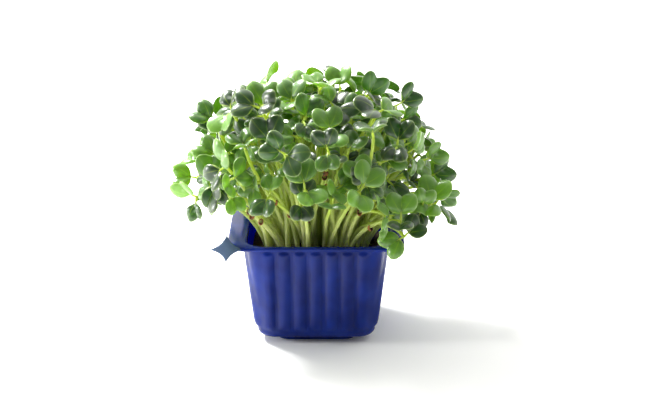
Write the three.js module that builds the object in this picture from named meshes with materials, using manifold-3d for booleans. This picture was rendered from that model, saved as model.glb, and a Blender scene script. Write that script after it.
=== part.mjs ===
// Radish microgreens standing in a square fluted tray of thin formed plastic.
// Millimetres, +Z up. The front of the tray faces -Y and +X is to its right.
// The origin is the centre of the underside of the tray's foot.
import * as THREE from "three";
import { mergeVertices } from "three/addons/utils/BufferGeometryUtils.js";
import Module from "manifold-3d";

const wasm = await Module();
wasm.setup();

// Tray: outside widths and heights.
const RIM_HEIGHT = 65.6;
const TRAY_TOP_WIDTH = 86;
const TRAY_BOTTOM_WIDTH = 73;
const CORNER_RADIUS = 12;
const WALL = 0.8;
const SHOULDER_HEIGHT = 7.5;
const FLOOR_HEIGHT = 3.6;
const BEND_IN = 3.4;
const BEND_CORNER = 4;
const BEND_RISE = 1;
const BEND_RISE_CORNER = 2;
const FOOT_HALF_WIDTH = 24;
const FOOT_HALF_DEPTH = 29;
const FOOT_CORNER = 7;

// How far a cut runs past the surface that it opens, and a step too small to see.
const CUT_PAST = 2;
const SLIVER = 0.01;

// Flange round the rim: wide at the left and right, narrow at the front and back.
const FLANGE_HALF_WIDTH = 53.5;
const FLANGE_HALF_DEPTH = 46.5;
const FLANGE_CORNER = 9.7;
const LIP_DEPTH = 1.9;

// Upright flutes formed in each wall.
const FLUTES_PER_SIDE = 7;
const FLUTE_PITCH = 9.6;
const FLUTE_RADIUS = 5.4;
const FLUTE_SUNK = 3.9;
const FLUTE_SIDES = 10;
const FLUTE_FOOT = 9;
const FLUTE_TOP = 61.6;
const FLUTE_END = 3;
const FLUTE_END_SCALE = 0.75;

// Four-pointed offcut between the rounded corners, still joined at the front left corner.
const STAR_REACH = 9.9;
const STAR_WAIST = 0.22;
const STAR_ARC_STEPS = 5;
const STAR_SAG = (38 * Math.PI) / 180;
const STAR_CENTRE = new THREE.Vector3(-53.3, -46.3, 65.2);

// Growing pad, which fills the tray up to PAD_TOP, and the root collars that stand in its holes.
const PAD_TOP = 49.6;
const GAP = 0.35;
const TUFTS_ACROSS = 6;
const TUFT_PITCH = 11.6;
const COLLAR_RADIUS = 2.8;
const COLLAR_DEPTH = 7;
const COLLAR_PROUD = 1.2;
const COLLAR_SIDES = 6;
const ROOT_OFFSET = 1.25;

// Sprouts: the heads lie on a dome, up to four to a root collar.
const SPROUTS_PER_TUFT = 4;
const TRIES = 260;
const SHRINK = 0.2;
const DOME_HALF_WIDTH = 76;
const DOME_HALF_DEPTH = 67;
const DOME_BASE = 72.6;
const DOME_RISE = 84;
const DOME_POWER = 0.62;
const DOME_SQUARENESS = 2.5;
const PAD_SQUARENESS = 6;
const DOME_TURN = 0.9;
const DOME_EDGE = 1.03;
const FRONT_LIFT = 14;
const DOME_SINK = 12;
const ARCH_BELOW = 108.6;
const ARCH_SHARE = 0.5;
const ARCH_RISE = 0.7;
const STEM_STRAIGHT = 0.4;
const STEM_LEAN = 0.08;
const STEM_ARRIVAL = 0.3;
const STEM_UPWARD = 0.15;
const STEM_FOOT_SUNK = 1;
const STEM_HALF = 0.85;
const STEM_STEPS = 3;
const PETIOLE_HALF_WIDTH = 0.8;
const CROTCH_HEIGHT = 0.9;
const BLADE_THICKNESS = 0.75;
const WIDTH_TO_LENGTH = 1.5;
const LEAD_ALONG_STEM = 0.6;
const LEAD_ALONG_LEAF = 0.8;
const LEAF_CENTRE = 0.55;
const FOLD_POWER = 1.3;

// How the drawn sizes and directions spread: lengths in millimetres, leaf openings and the front
// leaves' turns in degrees, the other leans in radians, and the rest as shares.
const PETIOLE_LENGTH = { from: 3.5, span: 2 };
const FOLD = { from: 0.1, span: 0.4 };
const CURL = { from: -0.1, span: 0.35 };
const LEAF_WIDTH = { from: 18, span: 4 };
const PARTNER_SIZE = { from: 0.82, span: 0.15 };
const FIRST_OPEN = { from: 45, span: 45 };
const PARTNER_OPEN = { from: 50, span: 40 };
const TURN_SPREAD = 6;
const TILT_SPREAD = 8;
const PLACE_SPREAD = 0.6;
const DEPTH_FIRST = 0.1;
const DEPTH_LATER = 0.42;
const LEAN_RIM = 1.1;
const LEAN_SHARE = 1.3;
const LEAN_SPREAD = 0.9;
const AXIS_SPREAD = 1.1;
const FRONT_TRIES = 14;
const FRONT_STEP = 1.5;
const TOP_LEAF_FRONT = 8;

// Space kept between the sampled points of different sprouts.
const LEAF_TO_LEAF = 3.1;
const LEAF_TO_STEM = 3.0;
const STEM_TO_STEM = 3;
const TUFT_MATES = 2.45;
const OWN_STEM_SKIPPED = 3;
const STEM_SAMPLES = 22;
const STEM_TO_WALL = 2.2;
const SEED = 20817;

// The space that the sprouts stay inside, and how low their leaves hang: FRONT_HEM at the front as
// far as HEM_RIGHT, LEFT_HEM past the left of the flange, LOW_HEM elsewhere.
const CROWN_HALF_WIDTH = 90;
const CROWN_HALF_DEPTH = 84;
const CROWN_TOP = 166.6;
const FRONT_HEM = 87.6;
const LEFT_HEM = 75.6;
const LOW_HEM = 57.6;
const HEM_FRONT = -38;
const HEM_RIGHT = 36;

// The front view looks down by VIEW_ANGLE at VIEW_TARGET from VIEW_DISTANCE. The target shows at
// VIEW_CENTRE in that view's own millimetres.
const VIEW_ANGLE = (18 * Math.PI) / 180;
const VIEW_DISTANCE = 1000;
const VIEW_TARGET = new THREE.Vector3(10, -43, 93.6);
const VIEW_CENTRE = new THREE.Vector2(10, 80.9);

// Cotyledons that stand out at the front. across and up are millimetres in the front view, from the
// middle of the foot. turn is the way the midrib points in that view (90 is up), nod tips the notch
// towards the front, roll turns the blade about its midrib, open is the angle from the stem.
const FRONT_LEAVES = [
  { across: -31, up: 147, turn: 92, nod: 0, roll: 0, open: 60, width: 21 },
  { across: -68, up: 134, turn: 150, nod: 0, roll: 25, open: 70, width: 18 },
  { across: -48, up: 136, turn: 165, nod: -35, roll: 30, open: 60, width: 19 },
  { across: -62, up: 126, turn: 225, nod: 20, roll: 45, open: 80, width: 18 },
  { across: -34, up: 158, turn: 50, nod: 0, roll: 78, open: 60, width: 17 },
  { across: -18, up: 158, turn: 90, nod: -20, roll: 10, open: 60, width: 18 },
  { across: -14, up: 149, turn: 88, nod: -10, roll: -15, open: 65, width: 19 },
  { across: -4, up: 139, turn: 75, nod: 0, roll: 25, open: 70, width: 19 },
  { across: 14, up: 157, turn: 95, nod: 0, roll: -10, open: 65, width: 17 },
  { across: 35, up: 152, turn: 60, nod: 10, roll: 30, open: 70, width: 20 },
  { across: 56, up: 145, turn: 45, nod: -10, roll: 30, open: 70, width: 18 },
  { across: -29, up: 126, turn: 100, nod: 10, roll: 0, open: 70, width: 21 },
  { across: -45, up: 119, turn: 120, nod: -50, roll: 10, open: 70, width: 17 },
  { across: -20, up: 119, turn: 95, nod: -68, roll: 5, open: 80, width: 21 },
  { across: -66, up: 114, turn: 140, nod: 0, roll: 20, open: 70, width: 18 },
  { across: -61, up: 104, turn: 95, nod: 25, roll: 0, open: 80, width: 21 },
  { across: -2, up: 115, turn: 262, nod: 15, roll: 30, open: 95, width: 20 },
  { across: 7, up: 132, turn: 100, nod: 0, roll: 15, open: 65, width: 19 },
  { across: 25, up: 139, turn: 60, nod: 0, roll: -25, open: 65, width: 18 },
  { across: 33, up: 125, turn: 100, nod: -65, roll: 0, open: 75, width: 21 },
  { across: 50, up: 125, turn: 80, nod: 0, roll: -10, open: 60, width: 19 },
  { across: 57, up: 132, turn: 25, nod: -20, roll: 20, open: 70, width: 16 },
  { across: 61, up: 118, turn: 60, nod: 0, roll: 75, open: 60, width: 18 },
  { across: 11, up: 113, turn: 45, nod: 0, roll: 20, open: 70, width: 18 },
  { across: 45, up: 113, turn: 90, nod: 5, roll: 0, open: 65, width: 20 },
  { across: 72, up: 111, turn: 40, nod: 0, roll: 35, open: 70, width: 17 },
  { across: -80, up: 96, turn: 182, nod: 0, roll: 20, open: 75, width: 17 },
  { across: -74, up: 107, turn: 160, nod: -20, roll: 45, open: 70, width: 16 },
  { across: -43, up: 99, turn: 35, nod: -30, roll: 20, open: 75, width: 18 },
  { across: -30, up: 104, turn: 95, nod: 0, roll: 0, open: 60, width: 21 },
  { across: -9, up: 100, turn: 105, nod: 0, roll: 20, open: 65, width: 20 },
  { across: -66, up: 87, turn: 185, nod: 10, roll: 30, open: 80, width: 18 },
  { across: -49, up: 86, turn: 95, nod: 5, roll: -5, open: 60, width: 21 },
  { across: -31, up: 77, turn: 250, nod: 20, roll: 35, open: 85, width: 18 },
  { across: -19, up: 81, turn: 272, nod: 10, roll: 5, open: 95, width: 21 },
  { across: 2, up: 93, turn: 50, nod: 0, roll: 30, open: 70, width: 18 },
  { across: 32, up: 98, turn: 62, nod: 0, roll: 10, open: 65, width: 20 },
  { across: 45, up: 92, turn: 5, nod: 10, roll: 30, open: 80, width: 18 },
  { across: 51, up: 81, turn: 90, nod: 0, roll: 0, open: 65, width: 19 },
  { across: 13, up: 77, turn: 190, nod: 0, roll: 20, open: 75, width: 18 },
  { across: 9, up: 88, turn: 90, nod: -45, roll: 5, open: 75, width: 19 },
  { across: 76, up: 101, turn: 30, nod: 0, roll: 30, open: 70, width: 18 },
  { across: 71, up: 90, turn: 75, nod: 0, roll: -10, open: 65, width: 21 },
  { across: 80, up: 83, turn: 350, nod: 0, roll: 45, open: 80, width: 17 },
  { across: 63, up: 78, turn: 270, nod: 10, roll: 10, open: 90, width: 19 },
  { across: 60, up: 69, turn: 300, nod: 10, roll: 15, open: 85, width: 17 },
  { across: 45, up: 56, turn: 215, nod: 15, roll: 15, open: 90, width: 18 },
];

// Half outline of a cotyledon from its base to the notch: along the midrib, and across as a share
// of half the width.
const LEAF_SIDE = [
  { along: 0.14, across: 0.66 },
  { along: 0.62, across: 1.02 },
  { along: 0.99, across: 0.56 },
];
const LEAF_NOTCH = { along: 0.8, across: 0 };
const LEAF_MIDDLE = { along: 0.42, across: 0 };

const PLASTIC = new THREE.MeshStandardMaterial({ color: 0x1c2a86, roughness: 0.25, metalness: 0 });
const PEAT = new THREE.MeshStandardMaterial({ color: 0x3a2a1c, roughness: 0.95, metalness: 0 });
const LEAF = new THREE.MeshStandardMaterial({ color: 0x4d7a2a, roughness: 0.5, metalness: 0 });

// Turns a closed three.js geometry into a solid, with its shared vertices merged.
function solidOf(geometry) {
  const bare = geometry.clone();
  bare.deleteAttribute("normal");
  bare.deleteAttribute("uv");
  const merged = mergeVertices(bare, 1e-4);
  return new wasm.Manifold(
    new wasm.Mesh({
      numProp: 3,
      vertProperties: new Float32Array(merged.attributes.position.array),
      triVerts: new Uint32Array(merged.index.array),
    })
  );
}

// Gives a solid back as a named mesh.
function meshOf(name, solid, material) {
  const result = solid.getMesh();
  const geometry = new THREE.BufferGeometry();
  geometry.setAttribute("position", new THREE.BufferAttribute(result.vertProperties, 3));
  geometry.setIndex(new THREE.BufferAttribute(result.triVerts, 1));
  geometry.computeVertexNormals();
  const mesh = new THREE.Mesh(geometry, material);
  mesh.name = name;
  return mesh;
}

// A closed geometry from points and the triangles between them.
function indexedGeometry(points, triangles) {
  const geometry = new THREE.BufferGeometry().setFromPoints(points);
  geometry.setIndex(triangles.flat());
  return geometry;
}

// A ring of points on a rectangle with round corners, anticlockwise seen from above.
function roundedRing(halfWidth, halfDepth, radius, height, steps = 3) {
  const points = [];
  for (let corner = 0; corner < 4; corner += 1) {
    const signX = corner === 0 || corner === 3 ? 1 : -1;
    const signY = corner < 2 ? 1 : -1;
    for (let step = 0; step <= steps; step += 1) {
      const angle = ((corner + step / steps) * Math.PI) / 2;
      const x = signX * (halfWidth - radius) + radius * Math.cos(angle);
      const y = signY * (halfDepth - radius) + radius * Math.sin(angle);
      points.push(new THREE.Vector3(x, y, height));
    }
  }
  return points;
}

// A closed skin through rings of equal count, from the lowest to the highest.
function loft(rings) {
  const count = rings[0].length;
  const points = rings.flat();
  const triangles = [];
  for (let ring = 0; ring + 1 < rings.length; ring += 1) {
    for (let index = 0; index < count; index += 1) {
      const next = (index + 1) % count;
      const low = ring * count;
      const high = low + count;
      triangles.push([low + index, low + next, high + next]);
      triangles.push([low + index, high + next, high + index]);
    }
  }
  const last = (rings.length - 1) * count;
  for (let index = 1; index + 1 < count; index += 1) {
    triangles.push([0, index + 1, index]);
    triangles.push([last, last + index, last + index + 1]);
  }
  return indexedGeometry(points, triangles);
}

// Half the outside width of the wall at a height.
function wallHalfWidth(height) {
  const share = (height - SHOULDER_HEIGHT) / (RIM_HEIGHT - SHOULDER_HEIGHT);
  return (TRAY_BOTTOM_WIDTH + (TRAY_TOP_WIDTH - TRAY_BOTTOM_WIDTH) * share) / 2;
}

// The tray's outside form brought in by inset on every side, up to top.
function trayForm(inset, top) {
  const low = wallHalfWidth(SHOULDER_HEIGHT);
  const edge = low - BEND_IN - inset;
  const bend = low - BEND_RISE - inset;
  const footWidth = FOOT_HALF_WIDTH - inset;
  const footDepth = FOOT_HALF_DEPTH - inset;
  const rings = [
    roundedRing(footWidth, footDepth, FOOT_CORNER - inset, inset),
    roundedRing(footWidth, footDepth, FOOT_CORNER - inset, FLOOR_HEIGHT + inset),
    roundedRing(edge, edge, CORNER_RADIUS - BEND_CORNER, FLOOR_HEIGHT + inset + SLIVER),
    roundedRing(bend, bend, CORNER_RADIUS - BEND_RISE_CORNER, FLOOR_HEIGHT + inset + BEND_RISE),
    roundedRing(low - inset, low - inset, CORNER_RADIUS - inset, SHOULDER_HEIGHT + inset / 2),
    roundedRing(wallHalfWidth(top) - inset, wallHalfWidth(top) - inset, CORNER_RADIUS - inset, top),
  ];
  return solidOf(loft(rings));
}

// One flute: a round bar along the wall, thinner at both ends, on the front side of the tray.
function flute(across, inset) {
  const heights = [FLUTE_FOOT, FLUTE_FOOT + FLUTE_END, FLUTE_TOP - FLUTE_END, FLUTE_TOP];
  const scales = [FLUTE_END_SCALE, 1, 1, FLUTE_END_SCALE];
  const rings = heights.map((height, index) => {
    const points = [];
    const radius = (FLUTE_RADIUS - inset) * scales[index];
    for (let side = 0; side < FLUTE_SIDES; side += 1) {
      const angle = (side / FLUTE_SIDES) * 2 * Math.PI;
      const centre = -wallHalfWidth(height) + FLUTE_SUNK;
      points.push(
        new THREE.Vector3(across + radius * Math.cos(angle), centre + radius * Math.sin(angle), height)
      );
    }
    return points;
  });
  return solidOf(loft(rings));
}

// All flutes of the four walls, thinner by inset.
function flutes(inset) {
  const middle = (FLUTES_PER_SIDE - 1) / 2;
  const solids = [];
  for (let index = 0; index < FLUTES_PER_SIDE; index += 1) {
    const bar = flute((index - middle) * FLUTE_PITCH, inset);
    for (let side = 0; side < 4; side += 1) {
      solids.push(bar.rotate([0, 0, side * 90]));
    }
  }
  return solids;
}

// The flange: a thin plate round the rim with a short lip turned down at its edge.
function flange() {
  const outer = (inset, from, to) =>
    solidOf(
      loft([
        roundedRing(FLANGE_HALF_WIDTH - inset, FLANGE_HALF_DEPTH - inset, FLANGE_CORNER - inset, from),
        roundedRing(FLANGE_HALF_WIDTH - inset, FLANGE_HALF_DEPTH - inset, FLANGE_CORNER - inset, to),
      ])
    );
  const block = outer(0, RIM_HEIGHT - LIP_DEPTH, RIM_HEIGHT);
  return block.subtract(outer(WALL, RIM_HEIGHT - LIP_DEPTH - CUT_PAST, RIM_HEIGHT - WALL));
}

// The four-pointed offcut: four hollow arcs between its points, tipped down towards the front.
function star() {
  const shape = new THREE.Shape();
  shape.moveTo(STAR_REACH, 0);
  shape.quadraticCurveTo(STAR_REACH * STAR_WAIST, STAR_REACH * STAR_WAIST, 0, STAR_REACH);
  shape.quadraticCurveTo(-STAR_REACH * STAR_WAIST, STAR_REACH * STAR_WAIST, -STAR_REACH, 0);
  shape.quadraticCurveTo(-STAR_REACH * STAR_WAIST, -STAR_REACH * STAR_WAIST, 0, -STAR_REACH);
  shape.quadraticCurveTo(STAR_REACH * STAR_WAIST, -STAR_REACH * STAR_WAIST, STAR_REACH, 0);
  const sheet = { depth: WALL, bevelEnabled: false, curveSegments: STAR_ARC_STEPS };
  const plate = new THREE.ExtrudeGeometry(shape, sheet);
  plate.rotateX(STAR_SAG);
  plate.translate(STAR_CENTRE.x, STAR_CENTRE.y, STAR_CENTRE.z);
  return solidOf(plate);
}

// The tray: the outside form with its flutes, flange and offcut, less the same form inside.
function makeTray() {
  const above = RIM_HEIGHT + CUT_PAST;
  const outside = flutes(0).reduce((body, bar) => body.add(bar), trayForm(0, RIM_HEIGHT));
  const inside = flutes(WALL).reduce((body, bar) => body.add(bar), trayForm(WALL, above));
  return outside.add(flange()).add(star()).subtract(inside);
}

// The place of each tuft's root collar on the pad.
function tuftPlaces() {
  const middle = (TUFTS_ACROSS - 1) / 2;
  const places = [];
  for (let row = 0; row < TUFTS_ACROSS; row += 1) {
    for (let column = 0; column < TUFTS_ACROSS; column += 1) {
      places.push(new THREE.Vector2((column - middle) * TUFT_PITCH, (row - middle) * TUFT_PITCH));
    }
  }
  return places;
}

// A short upright bar with COLLAR_SIDES sides.
function collar(place, radius, from, to) {
  const bar = new THREE.CylinderGeometry(radius, radius, to - from, COLLAR_SIDES);
  bar.rotateX(Math.PI / 2);
  bar.translate(place.x, place.y, (from + to) / 2);
  return solidOf(bar);
}

// The pad, with a plain hole for each root collar.
function makePad(places) {
  const inset = WALL + GAP;
  const body = trayForm(inset, PAD_TOP);
  return places.reduce((pad, place) => {
    const hole = collar(place, COLLAR_RADIUS + GAP, PAD_TOP - COLLAR_DEPTH - GAP, PAD_TOP + CUT_PAST);
    return pad.subtract(hole);
  }, body);
}

// Seeded draws between 0 and 1.
function seededDraws(seed) {
  let state = seed >>> 0;
  return () => {
    state = (state + 0x6d2b79f5) >>> 0;
    let mixed = Math.imul(state ^ (state >>> 15), state | 1);
    mixed ^= mixed + Math.imul(mixed ^ (mixed >>> 7), mixed | 61);
    return ((mixed ^ (mixed >>> 14)) >>> 0) / 4294967296;
  };
}

// Rounds a vector's parts to a ten thousandth.
function settled(vector) {
  const tidy = (value) => Math.floor(value * 1e4 + 0.5) / 1e4;
  return new THREE.Vector3(tidy(vector.x), tidy(vector.y), tidy(vector.z));
}

const radians = (degrees) => (degrees * Math.PI) / 180;

// How far out a place in plan lies, from 0 in the middle to 1 on a rim that is squarer for a
// larger power.
function squareRadius(x, y, power = DOME_SQUARENESS) {
  return Math.pow(Math.pow(Math.abs(x), power) + Math.pow(Math.abs(y), power), 1 / power);
}

// The point of the dome over the place (u, v) of the pad, each from -1 to 1.
function domePoint(u, v, depth) {
  const spread = Math.min(DOME_EDGE, squareRadius(u, v, PAD_SQUARENESS));
  const cosine = Math.max(0, 1 - DOME_TURN * spread * spread);
  const sine = Math.sqrt(1 - cosine * cosine);
  const reach = (sine / Math.max(1e-6, squareRadius(u, v))) * depth;
  return new THREE.Vector3(
    DOME_HALF_WIDTH * reach * u,
    DOME_HALF_DEPTH * reach * v,
    DOME_BASE + (DOME_RISE * Math.pow(cosine, DOME_POWER) + DOME_SINK) * depth - DOME_SINK
  );
}

// The place of the pad, in millimetres, that the dome's point over it belongs to.
function rootUnder(point) {
  const x = point.x / DOME_HALF_WIDTH;
  const y = point.y / DOME_HALF_DEPTH;
  const sine = Math.min(1, squareRadius(x, y));
  const spread = Math.sqrt((1 - Math.sqrt(1 - sine * sine)) / DOME_TURN);
  const half = ((TUFTS_ACROSS - 1) / 2) * TUFT_PITCH;
  const scale = (spread / Math.max(1e-6, squareRadius(x, y, PAD_SQUARENESS))) * half;
  return new THREE.Vector2(x * scale, y * scale);
}

// The point at depth y that shows at (across, up) in the front view.
function viewPoint(across, up, y) {
  const sine = Math.sin(VIEW_ANGLE);
  const cosine = Math.cos(VIEW_ANGLE);
  const back = y - VIEW_TARGET.y;
  const rise = up - VIEW_CENTRE.y;
  const over = rise * (1 + (back * cosine) / VIEW_DISTANCE) - back * sine;
  const high = over / (cosine + (rise * sine) / VIEW_DISTANCE);
  const scale = 1 + (back * cosine - high * sine) / VIEW_DISTANCE;
  return new THREE.Vector3(VIEW_TARGET.x + (across - VIEW_CENTRE.x) * scale, y, VIEW_TARGET.z + high);
}

// Whether a point lies inside the dome.
function insideDome(point) {
  if (point.z < DOME_BASE) {
    return squareRadius(point.x / DOME_HALF_WIDTH, point.y / DOME_HALF_DEPTH) < 1;
  }
  const level = Math.min(1, (point.z - DOME_BASE) / DOME_RISE);
  const cosine = Math.pow(level, 1 / DOME_POWER);
  const sine = Math.sqrt(1 - cosine * cosine);
  return squareRadius(point.x / DOME_HALF_WIDTH, point.y / DOME_HALF_DEPTH) < sine;
}

// The nearest point of the dome at (across, up) in the front view, moved back by sunk.
function frontPoint(across, up, sunk) {
  for (let y = -DOME_HALF_DEPTH; y < 0; y += 1) {
    if (insideDome(viewPoint(across, up, y))) {
      return viewPoint(across, up, y + sunk);
    }
  }
  return viewPoint(across, up, sunk - TOP_LEAF_FRONT);
}

// The direction of a petiole, between the stem's and the midrib's.
function leadOf(axis, midrib) {
  return axis.clone().multiplyScalar(LEAD_ALONG_STEM).addScaledVector(midrib, LEAD_ALONG_LEAF).normalize();
}

// One cotyledon: where it starts, the way its petiole and midrib run, its upper side and its size.
function cotyledon(start, axis, midrib, normal, width, bend) {
  const length = width / WIDTH_TO_LENGTH;
  const lead = leadOf(axis, midrib);
  return {
    start,
    base: settled(start.clone().addScaledVector(lead, bend.petiole)),
    midrib: settled(midrib),
    normal: settled(normal),
    side: settled(normal.clone().cross(midrib)),
    length,
    width,
    fold: bend.fold,
    curl: bend.curl,
  };
}

// The point of a cotyledon's middle surface at a share along the midrib and across the half width.
function leafPoint(leaf, along, across) {
  const half = leaf.width / 2;
  const folded = leaf.fold * half * Math.pow(Math.abs(across), FOLD_POWER);
  const lift = folded - leaf.curl * leaf.length * along * along;
  return leaf.base
    .clone()
    .addScaledVector(leaf.midrib, along * leaf.length)
    .addScaledVector(leaf.side, across * half)
    .addScaledVector(leaf.normal, lift);
}

// The stem's centre line, from its root up and over to the head.
function stemCurve(root, head, axis) {
  const foot = new THREE.Vector3(root.x, root.y, PAD_TOP - STEM_FOOT_SUNK);
  const reach = head.clone().sub(foot);
  const size = reach.length();
  const arch = Math.max(0, ARCH_BELOW - head.z) * ARCH_SHARE;
  const arrive = axis.clone().multiplyScalar(0.5).addScaledVector(reach, 0.5 / size);
  arrive.z += STEM_UPWARD;
  arrive.normalize();
  const lift = size * STEM_STRAIGHT + arch * ARCH_RISE;
  const rise = foot.clone().add(new THREE.Vector3(reach.x * STEM_LEAN, reach.y * STEM_LEAN, lift));
  const fall = head.clone().addScaledVector(arrive, -STEM_ARRIVAL * size);
  fall.z += arch;
  return new THREE.CubicBezierCurve3(foot, rise, fall, head);
}

// A sprout from its head, the stem's direction there and its two cotyledons. Its root stands off
// the middle of the collar, towards the head.
function sprout(tuft, place, head, axis, leaves) {
  const half = ((TUFTS_ACROSS - 1) / 2) * TUFT_PITCH;
  const ideal = domePoint(place.x / half, place.y / half, 1);
  const aside = new THREE.Vector2(head.x - ideal.x, head.y - ideal.y).normalize();
  const root = place.clone().addScaledVector(aside, ROOT_OFFSET);
  const curve = stemCurve(root, head, axis);
  const stemPoints = [];
  for (let index = 2; index <= STEM_SAMPLES; index += 1) {
    stemPoints.push(settled(curve.getPoint(index / STEM_SAMPLES)));
  }
  return { tuft, head, axis, curve, leaves, leafPoints: leaves.flatMap(leafSamples), stemPoints };
}

// Points spread over a cotyledon, about three millimetres apart.
function leafSamples(leaf) {
  const outline = [
    ...LEAF_SIDE.map((point) => [point.along, -point.across]),
    [LEAF_NOTCH.along, 0],
    ...LEAF_SIDE.map((point) => [point.along, point.across]).reverse(),
    [0, 0],
  ];
  const samples = [leafPoint(leaf, LEAF_MIDDLE.along, 0)];
  outline.forEach(([along, across], index) => {
    const [nextAlong, nextAcross] = outline[(index + 1) % outline.length];
    samples.push(leafPoint(leaf, along, across));
    samples.push(leafPoint(leaf, (along + nextAlong) / 2, (across + nextAcross) / 2));
    samples.push(leafPoint(leaf, (along + LEAF_MIDDLE.along) / 2, across / 2));
  });
  return samples.map(settled);
}

// The height that the leaves keep above at a place: they hang lowest at the front right.
function hemHeight(point) {
  if (point.y < HEM_FRONT && point.x < HEM_RIGHT) {
    return FRONT_HEM;
  }
  return point.x < -FLANGE_HALF_WIDTH ? LEFT_HEM : LOW_HEM;
}

// Whether a point is clear of the tray's wall and flange, and of the offcut, and in bounds.
function clearOfTray(point, isLeaf) {
  if (Math.abs(point.x) > CROWN_HALF_WIDTH || Math.abs(point.y) > CROWN_HALF_DEPTH || point.z > CROWN_TOP) {
    return false;
  }
  if (isLeaf && point.z < hemHeight(point)) {
    return false;
  }
  const margin = isLeaf ? LEAF_TO_STEM : STEM_TO_WALL;
  if (point.z > RIM_HEIGHT + margin + 1) {
    return true;
  }
  const reach = Math.max(Math.abs(point.x), Math.abs(point.y));
  if (!isLeaf) {
    return reach < wallHalfWidth(point.z) - WALL - margin;
  }
  const pastFlange =
    Math.abs(point.x) > FLANGE_HALF_WIDTH + margin || Math.abs(point.y) > FLANGE_HALF_DEPTH + margin;
  const aside = Math.hypot(point.x - STAR_CENTRE.x, point.y - STAR_CENTRE.y);
  return pastFlange && aside > STAR_REACH + margin;
}

// Whether any point of one list comes within a distance of any point of another.
function tooNear(points, others, distance) {
  const square = distance * distance;
  return points.some((point) => others.some((other) => point.distanceToSquared(other) < square));
}

// Whether a new sprout keeps clear of the tray, of itself and of every sprout placed so far.
function hasRoom(candidate, placed) {
  if (!candidate.leafPoints.every((point) => clearOfTray(point, true))) {
    return false;
  }
  if (!candidate.stemPoints.every((point) => clearOfTray(point, false))) {
    return false;
  }
  const ownStem = candidate.stemPoints.slice(0, -OWN_STEM_SKIPPED);
  if (tooNear(candidate.leafPoints, ownStem, LEAF_TO_STEM)) {
    return false;
  }
  return placed.every((other) => {
    if (tooNear(candidate.leafPoints, other.leafPoints, LEAF_TO_LEAF)) {
      return false;
    }
    if (tooNear(candidate.leafPoints, other.stemPoints, LEAF_TO_STEM)) {
      return false;
    }
    if (tooNear(candidate.stemPoints, other.leafPoints, LEAF_TO_STEM)) {
      return false;
    }
    const apart = candidate.tuft === other.tuft ? TUFT_MATES : STEM_TO_STEM;
    return !tooNear(candidate.stemPoints, other.stemPoints, apart);
  });
}

// A draw between the two ends of a range.
function drawn(range, draw) {
  return range.from + range.span * draw();
}

// Turns a vector about a unit axis by an angle.
function turned(vector, axis, angle) {
  return vector.clone().applyAxisAngle(axis, angle);
}

// The drawn length of a petiole, and how far its blade folds up and curls down.
function bendOf(draw) {
  return { petiole: drawn(PETIOLE_LENGTH, draw), fold: drawn(FOLD, draw), curl: drawn(CURL, draw) };
}

// A sprout whose first cotyledon shows in the front view as one of FRONT_LEAVES.
function frontSprout(wish, sunk, draw, free) {
  const toView = new THREE.Vector3(0, -Math.cos(VIEW_ANGLE), Math.sin(VIEW_ANGLE));
  const upView = new THREE.Vector3(0, Math.sin(VIEW_ANGLE), Math.cos(VIEW_ANGLE));
  const turn = radians(wish.turn + TURN_SPREAD * (draw() - 0.5));
  let midrib = new THREE.Vector3(Math.cos(turn), 0, 0).addScaledVector(upView, Math.sin(turn));
  const side = toView.clone().cross(midrib);
  const nod = radians(wish.nod + TILT_SPREAD * (draw() - 0.5));
  midrib = turned(midrib, side, -nod);
  let normal = turned(toView, side, -nod);
  normal = turned(normal, midrib, radians(wish.roll + TILT_SPREAD * (draw() - 0.5)));
  const open = radians(wish.open);
  const axis = midrib.clone().multiplyScalar(Math.cos(open)).addScaledVector(normal, Math.sin(open));
  const away = midrib.clone().multiplyScalar(Math.sin(open)).addScaledVector(normal, -Math.cos(open));
  const bend = bendOf(draw);
  const centre = frontPoint(wish.across, wish.up, sunk);
  const lead = leadOf(axis, midrib);
  const half = (wish.width / WIDTH_TO_LENGTH) * LEAF_CENTRE;
  const head = settled(centre.clone().addScaledVector(midrib, -half).addScaledVector(lead, -bend.petiole));
  const partner = pairedLeaf(head, axis, away, wish.width * drawn(PARTNER_SIZE, draw), draw);
  const first = cotyledon(head, axis, midrib, normal, wish.width, bend);
  return placedSprout(head, axis, [first, partner], free);
}

// The second cotyledon, on the other side of the stem.
function pairedLeaf(head, axis, away, width, draw) {
  const open = radians(drawn(PARTNER_OPEN, draw));
  const midrib = axis.clone().multiplyScalar(Math.cos(open)).addScaledVector(away, -Math.sin(open));
  const normal = axis.clone().multiplyScalar(Math.sin(open)).addScaledVector(away, Math.cos(open));
  return cotyledon(head, axis, midrib, normal, width, bendOf(draw));
}

// Gives a sprout the free tuft whose root place is nearest under its head.
function placedSprout(head, axis, leaves, free) {
  const ideal = rootUnder(head);
  const places = tuftPlaces();
  let best = -1;
  let least = Infinity;
  places.forEach((place, index) => {
    const distance = Math.floor(place.distanceToSquared(ideal) * 1e4 + 0.5);
    if (free[index] > 0 && distance < least) {
      least = distance;
      best = index;
    }
  });
  return sprout(best, places[best], head, axis, leaves);
}

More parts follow.
